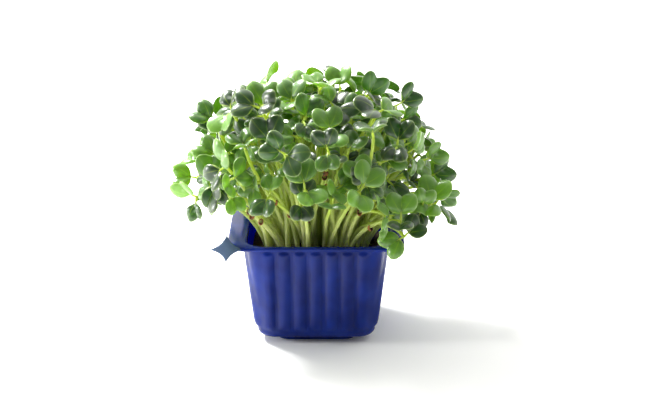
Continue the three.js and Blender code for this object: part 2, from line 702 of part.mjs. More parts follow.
// A sprout over a tuft, with a head drawn near the dome's point over it. It is deeper inside and
// smaller the larger the share of the tries that is used up.
function domeSprout(tuft, place, tried, draw) {
  const half = ((TUFTS_ACROSS - 1) / 2) * TUFT_PITCH;
  const u = place.x / half + PLACE_SPREAD * (draw() - 0.5);
  const v = place.y / half + PLACE_SPREAD * (draw() - 0.5);
  const over = domePoint(u, v, 1 - draw() * (DEPTH_FIRST + DEPTH_LATER * tried));
  over.z += over.x < HEM_RIGHT ? FRONT_LIFT * Math.max(0, -v) : 0;
  const head = settled(over);
  const outward = new THREE.Vector3(head.x, head.y, 0).normalize();
  const lean = Math.min(LEAN_RIM, squareRadius(u, v)) * LEAN_SHARE + LEAN_SPREAD * (draw() - 0.5);
  let axis = new THREE.Vector3(0, 0, Math.cos(lean)).addScaledVector(outward, Math.sin(lean));
  axis = turned(axis, new THREE.Vector3(0, 0, 1), AXIS_SPREAD * (draw() - 0.5));
  const anyWay = Math.abs(axis.z) < 0.9 ? new THREE.Vector3(0, 0, 1) : new THREE.Vector3(1, 0, 0);
  const across = turned(anyWay.cross(axis).normalize(), axis, 2 * Math.PI * draw());
  const open = radians(drawn(FIRST_OPEN, draw));
  const width = (1 - SHRINK * tried) * drawn(LEAF_WIDTH, draw);
  const midrib = axis.clone().multiplyScalar(Math.cos(open)).addScaledVector(across, Math.sin(open));
  const normal = axis.clone().multiplyScalar(Math.sin(open)).addScaledVector(across, -Math.cos(open));
  const first = cotyledon(head, axis, midrib, normal, width, bendOf(draw));
  const second = pairedLeaf(head, axis, across, width * drawn(PARTNER_SIZE, draw), draw);
  return sprout(tuft, place, head, axis, [first, second]);
}

// All sprouts: first those of the front view, then the rest of each tuft from the edge inwards.
function growSprouts() {
  const draw = seededDraws(SEED);
  const placed = [];
  const places = tuftPlaces();
  const free = places.map(() => SPROUTS_PER_TUFT);
  FRONT_LEAVES.forEach((wish) => {
    for (let attempt = 0; attempt < FRONT_TRIES; attempt += 1) {
      const candidate = frontSprout(wish, attempt * FRONT_STEP, draw, free);
      if (hasRoom(candidate, placed)) {
        placed.push(candidate);
        free[candidate.tuft] -= 1;
        return;
      }
    }
  });
  const reach = (tuft) => Math.max(Math.abs(places[tuft].x), Math.abs(places[tuft].y));
  const inwards = places.map((_, tuft) => tuft).sort((a, b) => reach(b) - reach(a) || a - b);
  inwards.forEach((tuft) => {
    for (let attempt = 0; attempt < TRIES && free[tuft] > 0; attempt += 1) {
      const candidate = domeSprout(tuft, places[tuft], attempt / TRIES, draw);
      if (hasRoom(candidate, placed)) {
        placed.push(candidate);
        free[tuft] -= 1;
      }
    }
  });
  return placed;
}

// The corners of a stem's cross-section, anticlockwise seen from above. wide and deep are its
// half sides as vectors.
function stemRing(centre, wide, deep) {
  return [
    centre.clone().add(wide).add(deep),
    centre.clone().add(wide).sub(deep),
    centre.clone().sub(wide).sub(deep),
    centre.clone().sub(wide).add(deep),
  ];
}

// The rings of a stem from its root to its head. wideAtHead is the direction across both petioles.
function stemRings(one, wideAtHead) {
  const rings = [];
  let wide = wideAtHead.clone();
  for (let step = STEM_STEPS; step >= 0; step -= 1) {
    const share = step / STEM_STEPS;
    const along = step === STEM_STEPS ? one.axis.clone() : one.curve.getTangent(share);
    wide.addScaledVector(along, -wide.dot(along)).normalize();
    const deep = wide.clone().cross(along).multiplyScalar(STEM_HALF);
    rings.unshift(stemRing(one.curve.getPoint(share), wide.clone().multiplyScalar(STEM_HALF), deep));
  }
  return rings;
}

// Adds a petiole and its blade to a sprout's points and triangles. root holds the numbers of its four
// root corners: low and high on the leaf's own side, then low and high on the other.
function addLeaf(points, triangles, leaf, root) {
  const lift = leaf.normal.clone().multiplyScalar(BLADE_THICKNESS / 2);
  const neck = (sign) => leaf.base.clone().addScaledVector(leaf.side, sign * PETIOLE_HALF_WIDTH);
  const middle = [
    neck(1),
    ...LEAF_SIDE.map((point) => leafPoint(leaf, point.along, point.across)),
    leafPoint(leaf, LEAF_NOTCH.along, 0),
    ...LEAF_SIDE.map((point) => leafPoint(leaf, point.along, -point.across)).reverse(),
    neck(-1),
    leafPoint(leaf, LEAF_MIDDLE.along, 0),
  ];
  const upper = points.length;
  const lower = upper + middle.length;
  points.push(...middle.map((point) => point.clone().add(lift)));
  points.push(...middle.map((point) => point.clone().sub(lift)));
  const hub = middle.length - 1;
  const last = hub - 1;
  for (let index = 0; index <= last; index += 1) {
    const next = (index + 1) % hub;
    triangles.push([upper + hub, upper + next, upper + index]);
    triangles.push([lower + hub, lower + index, lower + next]);
    if (index < last) {
      triangles.push([upper + index, upper + next, lower + next]);
      triangles.push([upper + index, lower + next, lower + index]);
    }
  }
  const [lowHere, highHere, lowThere, highThere] = root;
  triangles.push([lowHere, lower, lowThere], [lowThere, lower, lower + last]);
  triangles.push([highHere, highThere, upper], [highThere, upper + last, upper]);
  triangles.push([lowHere, highHere, upper], [lowHere, upper, lower]);
  triangles.push([lowThere, upper + last, highThere], [lowThere, lower + last, upper + last]);
}

// A sprout as one closed skin: a four-sided stem that forks into two petioles, each with its blade.
function sproutGeometry(one) {
  const rings = stemRings(one, one.leaves[0].side);
  const points = rings.flat();
  const triangles = [[0, 2, 1], [0, 3, 2]];
  for (let ring = 0; ring < STEM_STEPS; ring += 1) {
    for (let corner = 0; corner < 4; corner += 1) {
      const low = ring * 4 + corner;
      const lowNext = ring * 4 + ((corner + 1) % 4);
      triangles.push([low, lowNext, lowNext + 4], [low, lowNext + 4, low + 4]);
    }
  }
  const top = STEM_STEPS * 4;
  const crotch = one.head.clone().addScaledVector(one.axis, CROTCH_HEIGHT);
  const across = one.leaves[0].side.clone().multiplyScalar(STEM_HALF);
  points.push(crotch.clone().add(across), crotch.clone().sub(across));
  triangles.push([top, top + 1, top + 4], [top + 2, top + 3, top + 5]);
  addLeaf(points, triangles, one.leaves[0], [top, top + 4, top + 3, top + 5]);
  addLeaf(points, triangles, one.leaves[1], [top + 2, top + 5, top + 1, top + 4]);
  return indexedGeometry(points, triangles);
}

// A root collar with its sprouts, their feet sunk in it.
function makeTuft(place, sprouts) {
  const foot = collar(place, COLLAR_RADIUS, PAD_TOP - COLLAR_DEPTH, PAD_TOP + COLLAR_PROUD);
  return sprouts.reduce((body, one) => body.add(solidOf(sproutGeometry(one))), foot);
}

const microgreens = new THREE.Group();
const sprouts = growSprouts();
const tufts = tuftPlaces()
  .map((place, tuft) => ({ place, sprouts: sprouts.filter((one) => one.tuft === tuft) }))
  .filter((tuft) => tuft.sprouts.length > 0);
microgreens.add(meshOf("tray", makeTray(), PLASTIC));
microgreens.add(meshOf("growing_pad", makePad(tufts.map((tuft) => tuft.place)), PEAT));
tufts.forEach((tuft, index) => {
  const name = `tuft_${String(index + 1).padStart(2, "0")}`;
  microgreens.add(meshOf(name, makeTuft(tuft.place, tuft.sprouts), LEAF));
});

export default microgreens;
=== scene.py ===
"""Radish microgreens in a square fluted tray of thin blue plastic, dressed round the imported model.

Shapes are worked out in millimetres and put into their meshes in metres. The sprouts are grown by
the same seeded rule as the model's, so each finer tuft stands exactly where its node stands.
"""

import logging
import math
from dataclasses import dataclass, field
from enum import Enum
from typing import Optional, Sequence, Union

import bpy
import numpy as np
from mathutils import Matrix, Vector


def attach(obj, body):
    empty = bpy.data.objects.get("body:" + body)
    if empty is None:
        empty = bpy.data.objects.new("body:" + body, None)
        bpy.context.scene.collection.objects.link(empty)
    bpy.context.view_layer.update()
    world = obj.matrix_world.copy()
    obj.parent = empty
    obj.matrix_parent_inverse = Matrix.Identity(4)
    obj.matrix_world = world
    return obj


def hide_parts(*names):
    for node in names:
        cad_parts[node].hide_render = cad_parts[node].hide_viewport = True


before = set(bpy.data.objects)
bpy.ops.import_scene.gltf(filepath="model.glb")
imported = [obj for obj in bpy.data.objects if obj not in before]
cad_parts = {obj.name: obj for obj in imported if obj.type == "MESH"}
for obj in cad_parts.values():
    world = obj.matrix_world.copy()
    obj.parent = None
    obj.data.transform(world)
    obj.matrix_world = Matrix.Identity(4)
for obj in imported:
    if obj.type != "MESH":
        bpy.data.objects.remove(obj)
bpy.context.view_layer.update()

MM = 0.001

Array = np.ndarray
Outline = tuple[tuple[float, float], ...]
Socket = bpy.types.NodeSocket
Value = Union[Socket, float]
Bend = tuple[float, float, float]

log = logging.getLogger("microgreens")


class Slot(Enum):
    """The names of the material slots."""

    TRAY = "tray_plastic"
    PAD = "growing_medium"
    SPROUT = "sprout_green"


class Finish(Enum):
    """Which of a piece's materials a face takes."""

    FIRST = 0
    SECOND = 1


def linear(colour: str) -> tuple[float, float, float, float]:
    """Turn an sRGB hex colour to linear.

    Args:
        colour: Six hex digits after a hash sign.

    Returns:
        Linear red, green and blue, and an alpha of 1.
    """
    parts = [int(colour[place : place + 2], 16) / 255 for place in (1, 3, 5)]
    even = [part / 12.92 if part <= 0.04045 else ((part + 0.055) / 1.055) ** 2.4 for part in parts]
    return (even[0], even[1], even[2], 1.0)


def unit(vector: Array) -> Array:
    """Scale vectors to length one along their last axis.

    Args:
        vector: One vector or rows of them.

    Returns:
        The same directions with length one.
    """
    return vector / np.maximum(1e-12, np.linalg.norm(vector, axis=-1, keepdims=True))


def settled(values: Array) -> Array:
    """Round to a ten thousandth of a millimetre, halves upwards.

    Args:
        values: Any array.

    Returns:
        The rounded array.
    """
    return np.floor(values * 1e4 + 0.5) / 1e4


def turned(vector: Array, axis: Array, angle: float) -> Array:
    """Turn a vector about a unit axis by the rule of Rodrigues.

    Args:
        vector: The vector to turn.
        axis: The unit axis.
        angle: The angle in radians, right-handed.

    Returns:
        The turned vector.
    """
    cosine, sine = math.cos(angle), math.sin(angle)
    return vector * cosine + np.cross(axis, vector) * sine + axis * (axis @ vector) * (1 - cosine)


class Draws:
    """Seeded draws between 0 and 1, made by mixing a 32-bit counter."""

    MASK = 0xFFFFFFFF
    STEP = 0x6D2B79F5

    def __init__(self, seed: int) -> None:
        """Start from a seed."""
        self.state = seed & self.MASK

    def __call__(self) -> float:
        """Give the next draw.

        Returns:
            A value from 0 up to 1.
        """
        self.state = (self.state + self.STEP) & self.MASK
        mixed = ((self.state ^ (self.state >> 15)) * (self.state | 1)) & self.MASK
        mixed ^= (mixed + (((mixed ^ (mixed >> 7)) * (mixed | 61)) & self.MASK)) & self.MASK
        return ((mixed ^ (mixed >> 14)) & self.MASK) / 4294967296


@dataclass
class Skin:
    """Points and faces gathered for one mesh, with what its materials read."""

    points: list[Array] = field(default_factory=list)
    faces: list[tuple[Array, int]] = field(default_factory=list)
    places: list[Array] = field(default_factory=list)
    looks: list[Array] = field(default_factory=list)
    count: int = 0

    def add(
        self,
        points: Array,
        faces: Sequence[Array],
        places: Array,
        looks: Array,
        finish: Finish = Finish.FIRST,
    ) -> None:
        """Add a surface.

        Args:
            points: Rows of x, y and z in millimetres.
            faces: Arrays of three or four point numbers a row.
            places: Rows of two surface coordinates, for patterns that follow the surface.
            looks: Rows of three values that the materials read.
            finish: Which material the faces take.
        """
        self.points.append(points)
        self.places.append(places)
        self.looks.append(looks)
        self.faces.extend((rows + self.count, finish.value) for rows in faces if len(rows))
        self.count += len(points)

    def piece(self, name: str, materials: Sequence[bpy.types.Material]) -> bpy.types.Object:
        """Make the Blender object, smoothly shaded.

        Args:
            name: The piece's name.
            materials: Its materials, in the order of Finish.

        Returns:
            The object, at the origin, with its place in its mesh.
        """
        points = np.concatenate(self.points) * MM
        rows = [row for faces, _ in self.faces for row in faces.tolist()]
        slots = np.concatenate([np.full(len(faces), finish) for faces, finish in self.faces])
        mesh = bpy.data.meshes.new(name)
        mesh.from_pydata(points.tolist(), [], rows)
        corners = np.empty(len(mesh.loops), np.int32)
        mesh.loops.foreach_get("vertex_index", corners)
        layer = mesh.uv_layers.new(name="surface")
        layer.data.foreach_set("uv", np.concatenate(self.places)[corners].astype(np.float32).ravel())
        look = mesh.attributes.new("look", "FLOAT_COLOR", "POINT")
        values = np.concatenate(self.looks)
        full = np.concatenate([values, np.ones((len(values), 1))], axis=1)
        look.data.foreach_set("color", full.astype(np.float32).ravel())
        for material in materials:
            mesh.materials.append(material)
        mesh.polygons.foreach_set("material_index", slots.astype(np.int32))
        mesh.polygons.foreach_set("use_smooth", np.ones(len(rows), bool))
        mesh.update()
        made = bpy.data.objects.new(name, mesh)
        bpy.context.scene.collection.objects.link(made)
        return made


def grid_faces(rows: int, columns: int) -> Array:
    """Number the quads of a grid of rings that follow each other.

    Args:
        rows: The number of rings.
        columns: Points in a ring.

    Returns:
        Four point numbers for each quad.
    """
    across = np.arange(columns)
    low = (np.arange(rows - 1)[:, None] * columns + across).ravel()
    turn = (np.arange(rows - 1)[:, None] * columns + (across + 1) % columns).ravel()
    return np.stack([low, turn, turn + columns, low + columns], axis=1)


def fan_faces(hub: int, ring: Array) -> Array:
    """Number the triangles from one point to each edge of a closed ring, in the ring's order."""
    return np.stack([np.full(len(ring), hub), ring, np.roll(ring, -1)], axis=1)


def closed_faces(rows: int, columns: int, flipped: bool = False) -> list[Array]:
    """Number the faces of rings with a pole at each end, whose two points follow the rings' own.

    Args:
        rows: The number of rings.
        columns: Points in a ring.
        flipped: Whether the faces turn the other way round.

    Returns:
        The quads between rings, the first pole's fan and the last pole's fan.
    """
    ring, hub = np.arange(columns), rows * columns
    last = fan_faces(hub + 1, ring + hub - columns)
    faces = [grid_faces(rows, columns), fan_faces(hub, ring)[:, ::-1], last]
    return [part[:, ::-1] for part in faces] if flipped else faces


def node(
    tree: bpy.types.NodeTree, kind: str, inputs: Optional[dict] = None, **settings: object
) -> bpy.types.Node:
    """Add a shader node with its settings and links.

    Args:
        tree: The node tree.
        kind: The node's class without the ShaderNode prefix.
        inputs: Input name or number to a value, or to the socket that feeds it.
        settings: The node's own settings.

    Returns:
        The new node.
    """
    made = tree.nodes.new(f"ShaderNode{kind}")
    for name, value in settings.items():
        setattr(made, name, value)
    for name, value in (inputs or {}).items():
        if isinstance(value, bpy.types.NodeSocket):
            tree.links.new(value, made.inputs[name])
        else:
            made.inputs[name].default_value = value
    return made


def blank_material(name: str) -> tuple[bpy.types.Material, bpy.types.NodeTree]:
    """Start a material with an empty node tree.

    Args:
        name: Its name.

    Returns:
        The material and its node tree.
    """
    material = bpy.data.materials.new(name)
    material.use_nodes = True
    material.node_tree.nodes.clear()
    return material, material.node_tree


def object_places(tree: bpy.types.NodeTree) -> Socket:
    """Give the object coordinates."""
    return node(tree, "TexCoord").outputs["Object"]


def look_values(tree: bpy.types.NodeTree) -> Sequence[Socket]:
    """Give the three values of the look attribute."""
    look = node(tree, "Attribute", attribute_name="look").outputs["Color"]
    return node(tree, "SeparateColor", {0: look}).outputs


def maths(tree: bpy.types.NodeTree, operation: str, *values: Value) -> Socket:
    """Work out one operation on numbers or sockets."""
    return node(tree, "Math", dict(enumerate(values)), operation=operation).outputs[0]


def relief(tree: bpy.types.NodeTree, height: Socket, strength: float, depth_mm: float) -> Socket:
    """Give the normal of a surface with a fine relief.

    Args:
        tree: The node tree.
        height: The socket with the relief, from 0 to 1.
        strength: How much of it shows.
        depth_mm: Its depth in millimetres.

    Returns:
        The normal's socket.
    """
    inputs = {"Height": height, "Strength": strength, "Distance": depth_mm * MM}
    return node(tree, "Bump", inputs).outputs["Normal"]


def surface_of(tree: bpy.types.NodeTree, shader: bpy.types.Node) -> None:
    """Make a shader the material's surface."""
    node(tree, "OutputMaterial", {"Surface": shader.outputs[0]})


def ramp(tree: bpy.types.NodeTree, factor: Socket, stops: Sequence[tuple[float, str]]) -> Socket:
    """Colour a value by stops.

    Args:
        tree: The node tree.
        factor: The socket with the value.
        stops: Pairs of a place from 0 to 1 and a hex colour.

    Returns:
        The colour socket.
    """
    made = node(tree, "ValToRGB", {"Fac": factor})
    elements = made.color_ramp.elements
    while len(elements) < len(stops):
        elements.new(0.5)
    for element, (place, colour) in zip(elements, stops):
        element.position = place
        element.color = linear(colour)
    return made.outputs["Color"]


def blend(tree: bpy.types.NodeTree, factor: Value, first: object, second: object) -> Socket:
    """Mix two colours.

    Args:
        tree: The node tree.
        factor: The share of the second colour.
        first: A colour socket or value.
        second: A colour socket or value.

    Returns:
        The mixed colour's socket.
    """
    made = node(tree, "Mix", {0: factor, 6: first, 7: second}, data_type="RGBA")
    return made.outputs[2]


@dataclass(frozen=True)
class TrayPlastic:
    """Thermoformed PET sheet, pigmented royal blue: glossy, and light comes through it.

    The sheet is thin, so it glows a clearer blue where light falls on its far side. Forming leaves
    faint waves that soften its reflections. The red value of look is the share of grey blue: the flat
    offcut's paler, frosted sheet, and painted sheen on the side flanges for their reflection of the
    bright surroundings.
    """

    deep: str = "#0a1e66"
    pale: str = "#102c84"
    glow: str = "#1444e8"
    roughness: float = 0.13
    roughness_spread: float = 0.06
    ior: float = 1.57
    # Grey blue: the offcut's own frosted sheet, and painted sheen of reflected surroundings on the side
    # flanges.
    frost_and_flange_sheen: str = "#6c8198"
    through: float = 0.2
    specular: float = 0.16
    wave_mm: float = 14.0

    def build(self) -> bpy.types.Material:
        """Make the material.

        Returns:
            The finished material.
        """
        material, tree = blank_material("thermoformed_blue_pet")
        places = object_places(tree)
        noise = {"Vector": places, "Scale": 1 / (self.wave_mm * MM), "Detail": 2.0}
        waves = node(tree, "TexNoise", noise).outputs["Fac"]
        look = look_values(tree)
        formed = ramp(tree, waves, ((0.35, self.deep), (0.7, self.pale)))
        # Grey blue where look says: the offcut's frosted sheet, and painted sheen on the side flanges.
        colour = blend(tree, look[0], formed, linear(self.frost_and_flange_sheen))
        rougher = self.roughness + self.roughness_spread
        haze = node(tree, "MapRange", {"Value": waves, 3: self.roughness, 4: rougher})
        bump = relief(tree, waves, 0.15, 0.3)
        gloss = node(
            tree,
            "BsdfPrincipled",
            {
                "Base Color": colour,
                "Roughness": haze.outputs[0],
                "IOR": self.ior,
                "Specular IOR Level": self.specular,
                "Normal": bump,
            },
        )
        tint = blend(tree, look[0], linear(self.glow), linear(self.frost_and_flange_sheen))
        glow = node(tree, "BsdfTranslucent", {"Color": tint, "Normal": bump})
        both = node(tree, "MixShader", {0: self.through, 1: gloss.outputs[0], 2: glow.outputs[0]})
        surface_of(tree, both)
        return material


@dataclass(frozen=True)
class LeafTissue:
    """Living radish cotyledon: waxy and mid green above, paler and duller below.

    Light comes through it as yellow green. Pale veins fan out from its base, brightened with painted
    glow of light through them, and its thin rim is paler with painted glow of light through the rim.
    look holds a leaf's own tone, its underside share and its share of painted rim glow.
    """

    dark: str = "#152c07"
    middle: str = "#2d5414"
    light: str = "#5f8e27"
    under: str = "#86a055"
    # Pale vein colour, brightened with painted glow of light through the veins near the base.
    vein_and_painted_glow: str = "#b9d838"
    # Painted glow: the pale yellow green of light coming through the thin rim.
    rim: str = "#b4d070"
    glow_dark: str = "#62a008"
    glow_light: str = "#bde60f"
    through: float = 0.36
    roughness: float = 0.36
    ior: float = 1.5
    wax: float = 0.9
    bloom: float = 0.3
    bloom_roughness: float = 0.3
    sheen: str = "#dfeccf"
    under_roughness: float = 0.62
    vein_pairs: float = 4.5
    mottle_mm: float = 4.0
    cell_mm: float = 0.7

    def build(self) -> bpy.types.Material:
        """Make the material.

        Returns:
            The finished material.
        """
        material, tree = blank_material("radish_leaf_tissue")
        look = look_values(tree)
        tone, under, rim = look[0], look[1], look[2]
        places = object_places(tree)
        noise = {"Vector": places, "Scale": 1 / (self.mottle_mm * MM), "Detail": 3.0}
        mottle = node(tree, "TexNoise", noise).outputs["Fac"]
        shade = maths(tree, "MULTIPLY_ADD", mottle, 0.35, tone)
        green = ramp(tree, shade, ((0.2, self.dark), (0.6, self.middle), (1.0, self.light)))
        veins_and_glow = self.vein_and_glow_lines(tree)
        # The veins take a pale colour that is partly painted glow of light through them.
        top = blend(tree, veins_and_glow, green, linear(self.vein_and_painted_glow))
        pale = blend(tree, 0.55, top, linear(self.under))
        face = blend(tree, under, top, pale)
        # Painted glow: the face is paled towards the rim colour at the outline, for light through the thin
        # edge.
        with_painted_rim_glow = blend(tree, rim, face, linear(self.rim))
        net = node(tree, "TexVoronoi", {"Vector": places, "Scale": 1 / (self.cell_mm * MM)})
        sunken_veins = maths(tree, "MULTIPLY_ADD", veins_and_glow, -1.5, net.outputs["Distance"])
        bump = relief(tree, sunken_veins, 0.35, 0.12)
        rough = node(tree, "MapRange", {"Value": under, 3: self.roughness, 4: self.under_roughness})
        body = node(
            tree,
            "BsdfPrincipled",
            {
                "Base Color": with_painted_rim_glow,
                "Roughness": rough.outputs[0],
                "IOR": self.ior,
                "Coat Weight": self.wax,
                "Coat Roughness": self.bloom_roughness,
                "Coat IOR": 1.55,
                "Sheen Weight": self.bloom,
                "Sheen Roughness": 0.45,
                "Sheen Tint": linear(self.sheen),
                "Normal": bump,
            },
        )
        glow = ramp(tree, shade, ((0.3, self.glow_dark), (0.9, self.glow_light)))
        through = node(tree, "BsdfTranslucent", {"Color": glow})
        both = node(tree, "MixShader", {0: self.through, 1: body.outputs[0], 2: through.outputs[0]})
        surface_of(tree, both)
        return material

    def vein_and_glow_lines(self, tree: bpy.types.NodeTree) -> bpy.types.NodeSocket:
        """Draw the veins, where the pale vein colour and its painted glow go: narrow lines at even angles
        round the leaf's base, fading to the rim.

        Args:
            tree: The node tree.

        Returns:
            A socket that is 1 on a vein and 0 between veins.
        """
        surface = node(tree, "SeparateXYZ", {0: node(tree, "UVMap", uv_map="surface").outputs[0]})
        angle = maths(tree, "ARCTAN2", surface.outputs[1], surface.outputs[0])
        line = maths(tree, "COSINE", maths(tree, "MULTIPLY", angle, self.vein_pairs * 2))
        strength = node(tree, "MapRange", {"Value": surface.outputs[0], 1: 0.12, 2: 0.6, 3: 1.0, 4: 0.14})
        sharp = node(tree, "MapRange", {"Value": line, 1: 0.9, 2: 1.0, 3: 0.0, 4: 1.0})
        return maths(tree, "MULTIPLY", strength.outputs[0], sharp.outputs[0])


@dataclass(frozen=True)
class StemTissue:
    """Young radish stem: juicy and pale yellow green, greener towards the leaves, paler at the root.

    look holds the stem's own tone and the share of its height.
    """

    root: str = "#f2f0d2"
    low: str = "#e3e5aa"
    high: str = "#b8d058"
    glow: str = "#e2ee6a"
    through: float = 0.42
    roughness: float = 0.35
    streak_mm: float = 0.5

    def build(self) -> bpy.types.Material:
        """Make the material.

        Returns:
            The finished material.
        """
        material, tree = blank_material("radish_stem_tissue")
        look = look_values(tree)
        places = object_places(tree)
        shrunk = node(tree, "Mapping", {"Vector": places, "Scale": (1.0, 1.0, 0.08)}).outputs[0]
        noise = {"Vector": shrunk, "Scale": 1 / (self.streak_mm * MM), "Detail": 2.0}
        shade = maths(tree, "MULTIPLY_ADD", node(tree, "TexNoise", noise).outputs["Fac"], 0.3, look[1])
        colour = ramp(tree, shade, ((0.12, self.root), (0.4, self.low), (1.0, self.high)))
        toned = blend(tree, maths(tree, "MULTIPLY", look[0], 0.3), colour, linear(self.high))
        skin = {"Base Color": toned, "Roughness": self.roughness, "IOR": 1.4}
        body = node(tree, "BsdfPrincipled", {**skin, "Coat Weight": 0.2, "Coat Roughness": 0.2})
        through = node(tree, "BsdfTranslucent", {"Color": linear(self.glow)})
        both = node(tree, "MixShader", {0: self.through, 1: body.outputs[0], 2: through.outputs[0]})
        surface_of(tree, both)
        return material


@dataclass(frozen=True)
class Peat:
    """Moist sphagnum peat with coir: crumbly and brown, with painted shade that makes it almost black in the
    hollows of its relief.
    """

    # Painted shade: near black laid where the relief is low, over the peat's own dark brown.
    painted_hollow_shade: str = "#140d08"
    crumb: str = "#4a3220"
    fibre: str = "#7d5a38"
    crumb_mm: float = 1.6

    def build(self) -> bpy.types.Material:
        """Make the material.

        Returns:
            The finished material.
        """
        material, tree = blank_material("moist_peat_and_coir")
        places = object_places(tree)
        noise = {"Vector": places, "Scale": 1 / (self.crumb_mm * MM), "Detail": 6.0, "Roughness": 0.65}
        crumbs = node(tree, "TexNoise", noise).outputs["Fac"]
        # The same noise gives the relief, so its hollows take the painted shade.
        colour = ramp(tree, crumbs, ((0.3, self.painted_hollow_shade), (0.6, self.crumb), (0.8, self.fibre)))
        bump = relief(tree, crumbs, 0.9, 0.8)
        rough = node(tree, "MapRange", {"Value": crumbs, 3: 0.55, 4: 0.98}).outputs[0]
        body = node(tree, "BsdfPrincipled", {"Base Color": colour, "Roughness": rough, "Normal": bump})
        surface_of(tree, body)
        return material


@dataclass(frozen=True)
class SeedCoat:
    """Dried seed coat of a radish: a thin red brown shell with a fine pitted net and a dull shine."""

    dark: str = "#3d2110"
    light: str = "#a0652a"
    pit_mm: float = 0.35

    def build(self) -> bpy.types.Material:
        """Make the material.

        Returns:
            The finished material.
        """
        material, tree = blank_material("dried_seed_coat")
        places = object_places(tree)
        net = node(tree, "TexVoronoi", {"Vector": places, "Scale": 1 / (self.pit_mm * MM)})
        patches = node(tree, "TexNoise", {"Vector": places, "Scale": 1 / (2.5 * MM)}).outputs["Fac"]
        colour = ramp(tree, patches, ((0.35, self.dark), (0.65, self.light)))
        bump = relief(tree, net.outputs["Distance"], 0.5, 0.1)
        body = node(tree, "BsdfPrincipled", {"Base Color": colour, "Roughness": 0.5, "Normal": bump})
        surface_of(tree, body)
        return material


@dataclass(frozen=True)
class Backdrop:
    """Matt white studio paper."""

    colour: str = "#fbfbf8"

    def build(self) -> bpy.types.Material:
        """Make the material, with a paper grain too fine to see except up close.

        Returns:
            The material.
        """
        material, tree = blank_material("matt_white_paper")
        places = object_places(tree)
        grain = node(tree, "TexNoise", {"Vector": places, "Scale": 400.0}).outputs["Fac"]
        matt = {"Base Color": linear(self.colour), "Roughness": 0.9, "Normal": relief(tree, grain, 0.05, 0.1)}
        body = node(tree, "BsdfPrincipled", matt)
        surface_of(tree, body)
        return material


@dataclass(frozen=True)
class TrayShape:
    """The tray's sizes in millimetres, as in the model."""

    rim_height: float = 65.6
    top_width: float = 86.0
    bottom_width: float = 73.0
    corner: float = 12.0
    wall: float = 0.8
    shoulder: float = 7.5
    floor: float = 3.6
    foot_half_width: float = 24.0
    foot_half_depth: float = 29.0
    foot_corner: float = 7.0
    flange_half_width: float = 53.5
    flange_half_depth: float = 46.5
    flange_corner: float = 9.7
    lip: float = 1.9
    star_centre: tuple[float, float, float] = (-53.3, -46.3, 65.6)
    star_reach: float = 9.9

    def half_width(self, height: Union[float, Array]) -> Union[float, Array]:
        """Give half the outside width of the wall at a height."""
        share = (height - self.shoulder) / (self.rim_height - self.shoulder)
        return (self.bottom_width + (self.top_width - self.bottom_width) * share) / 2


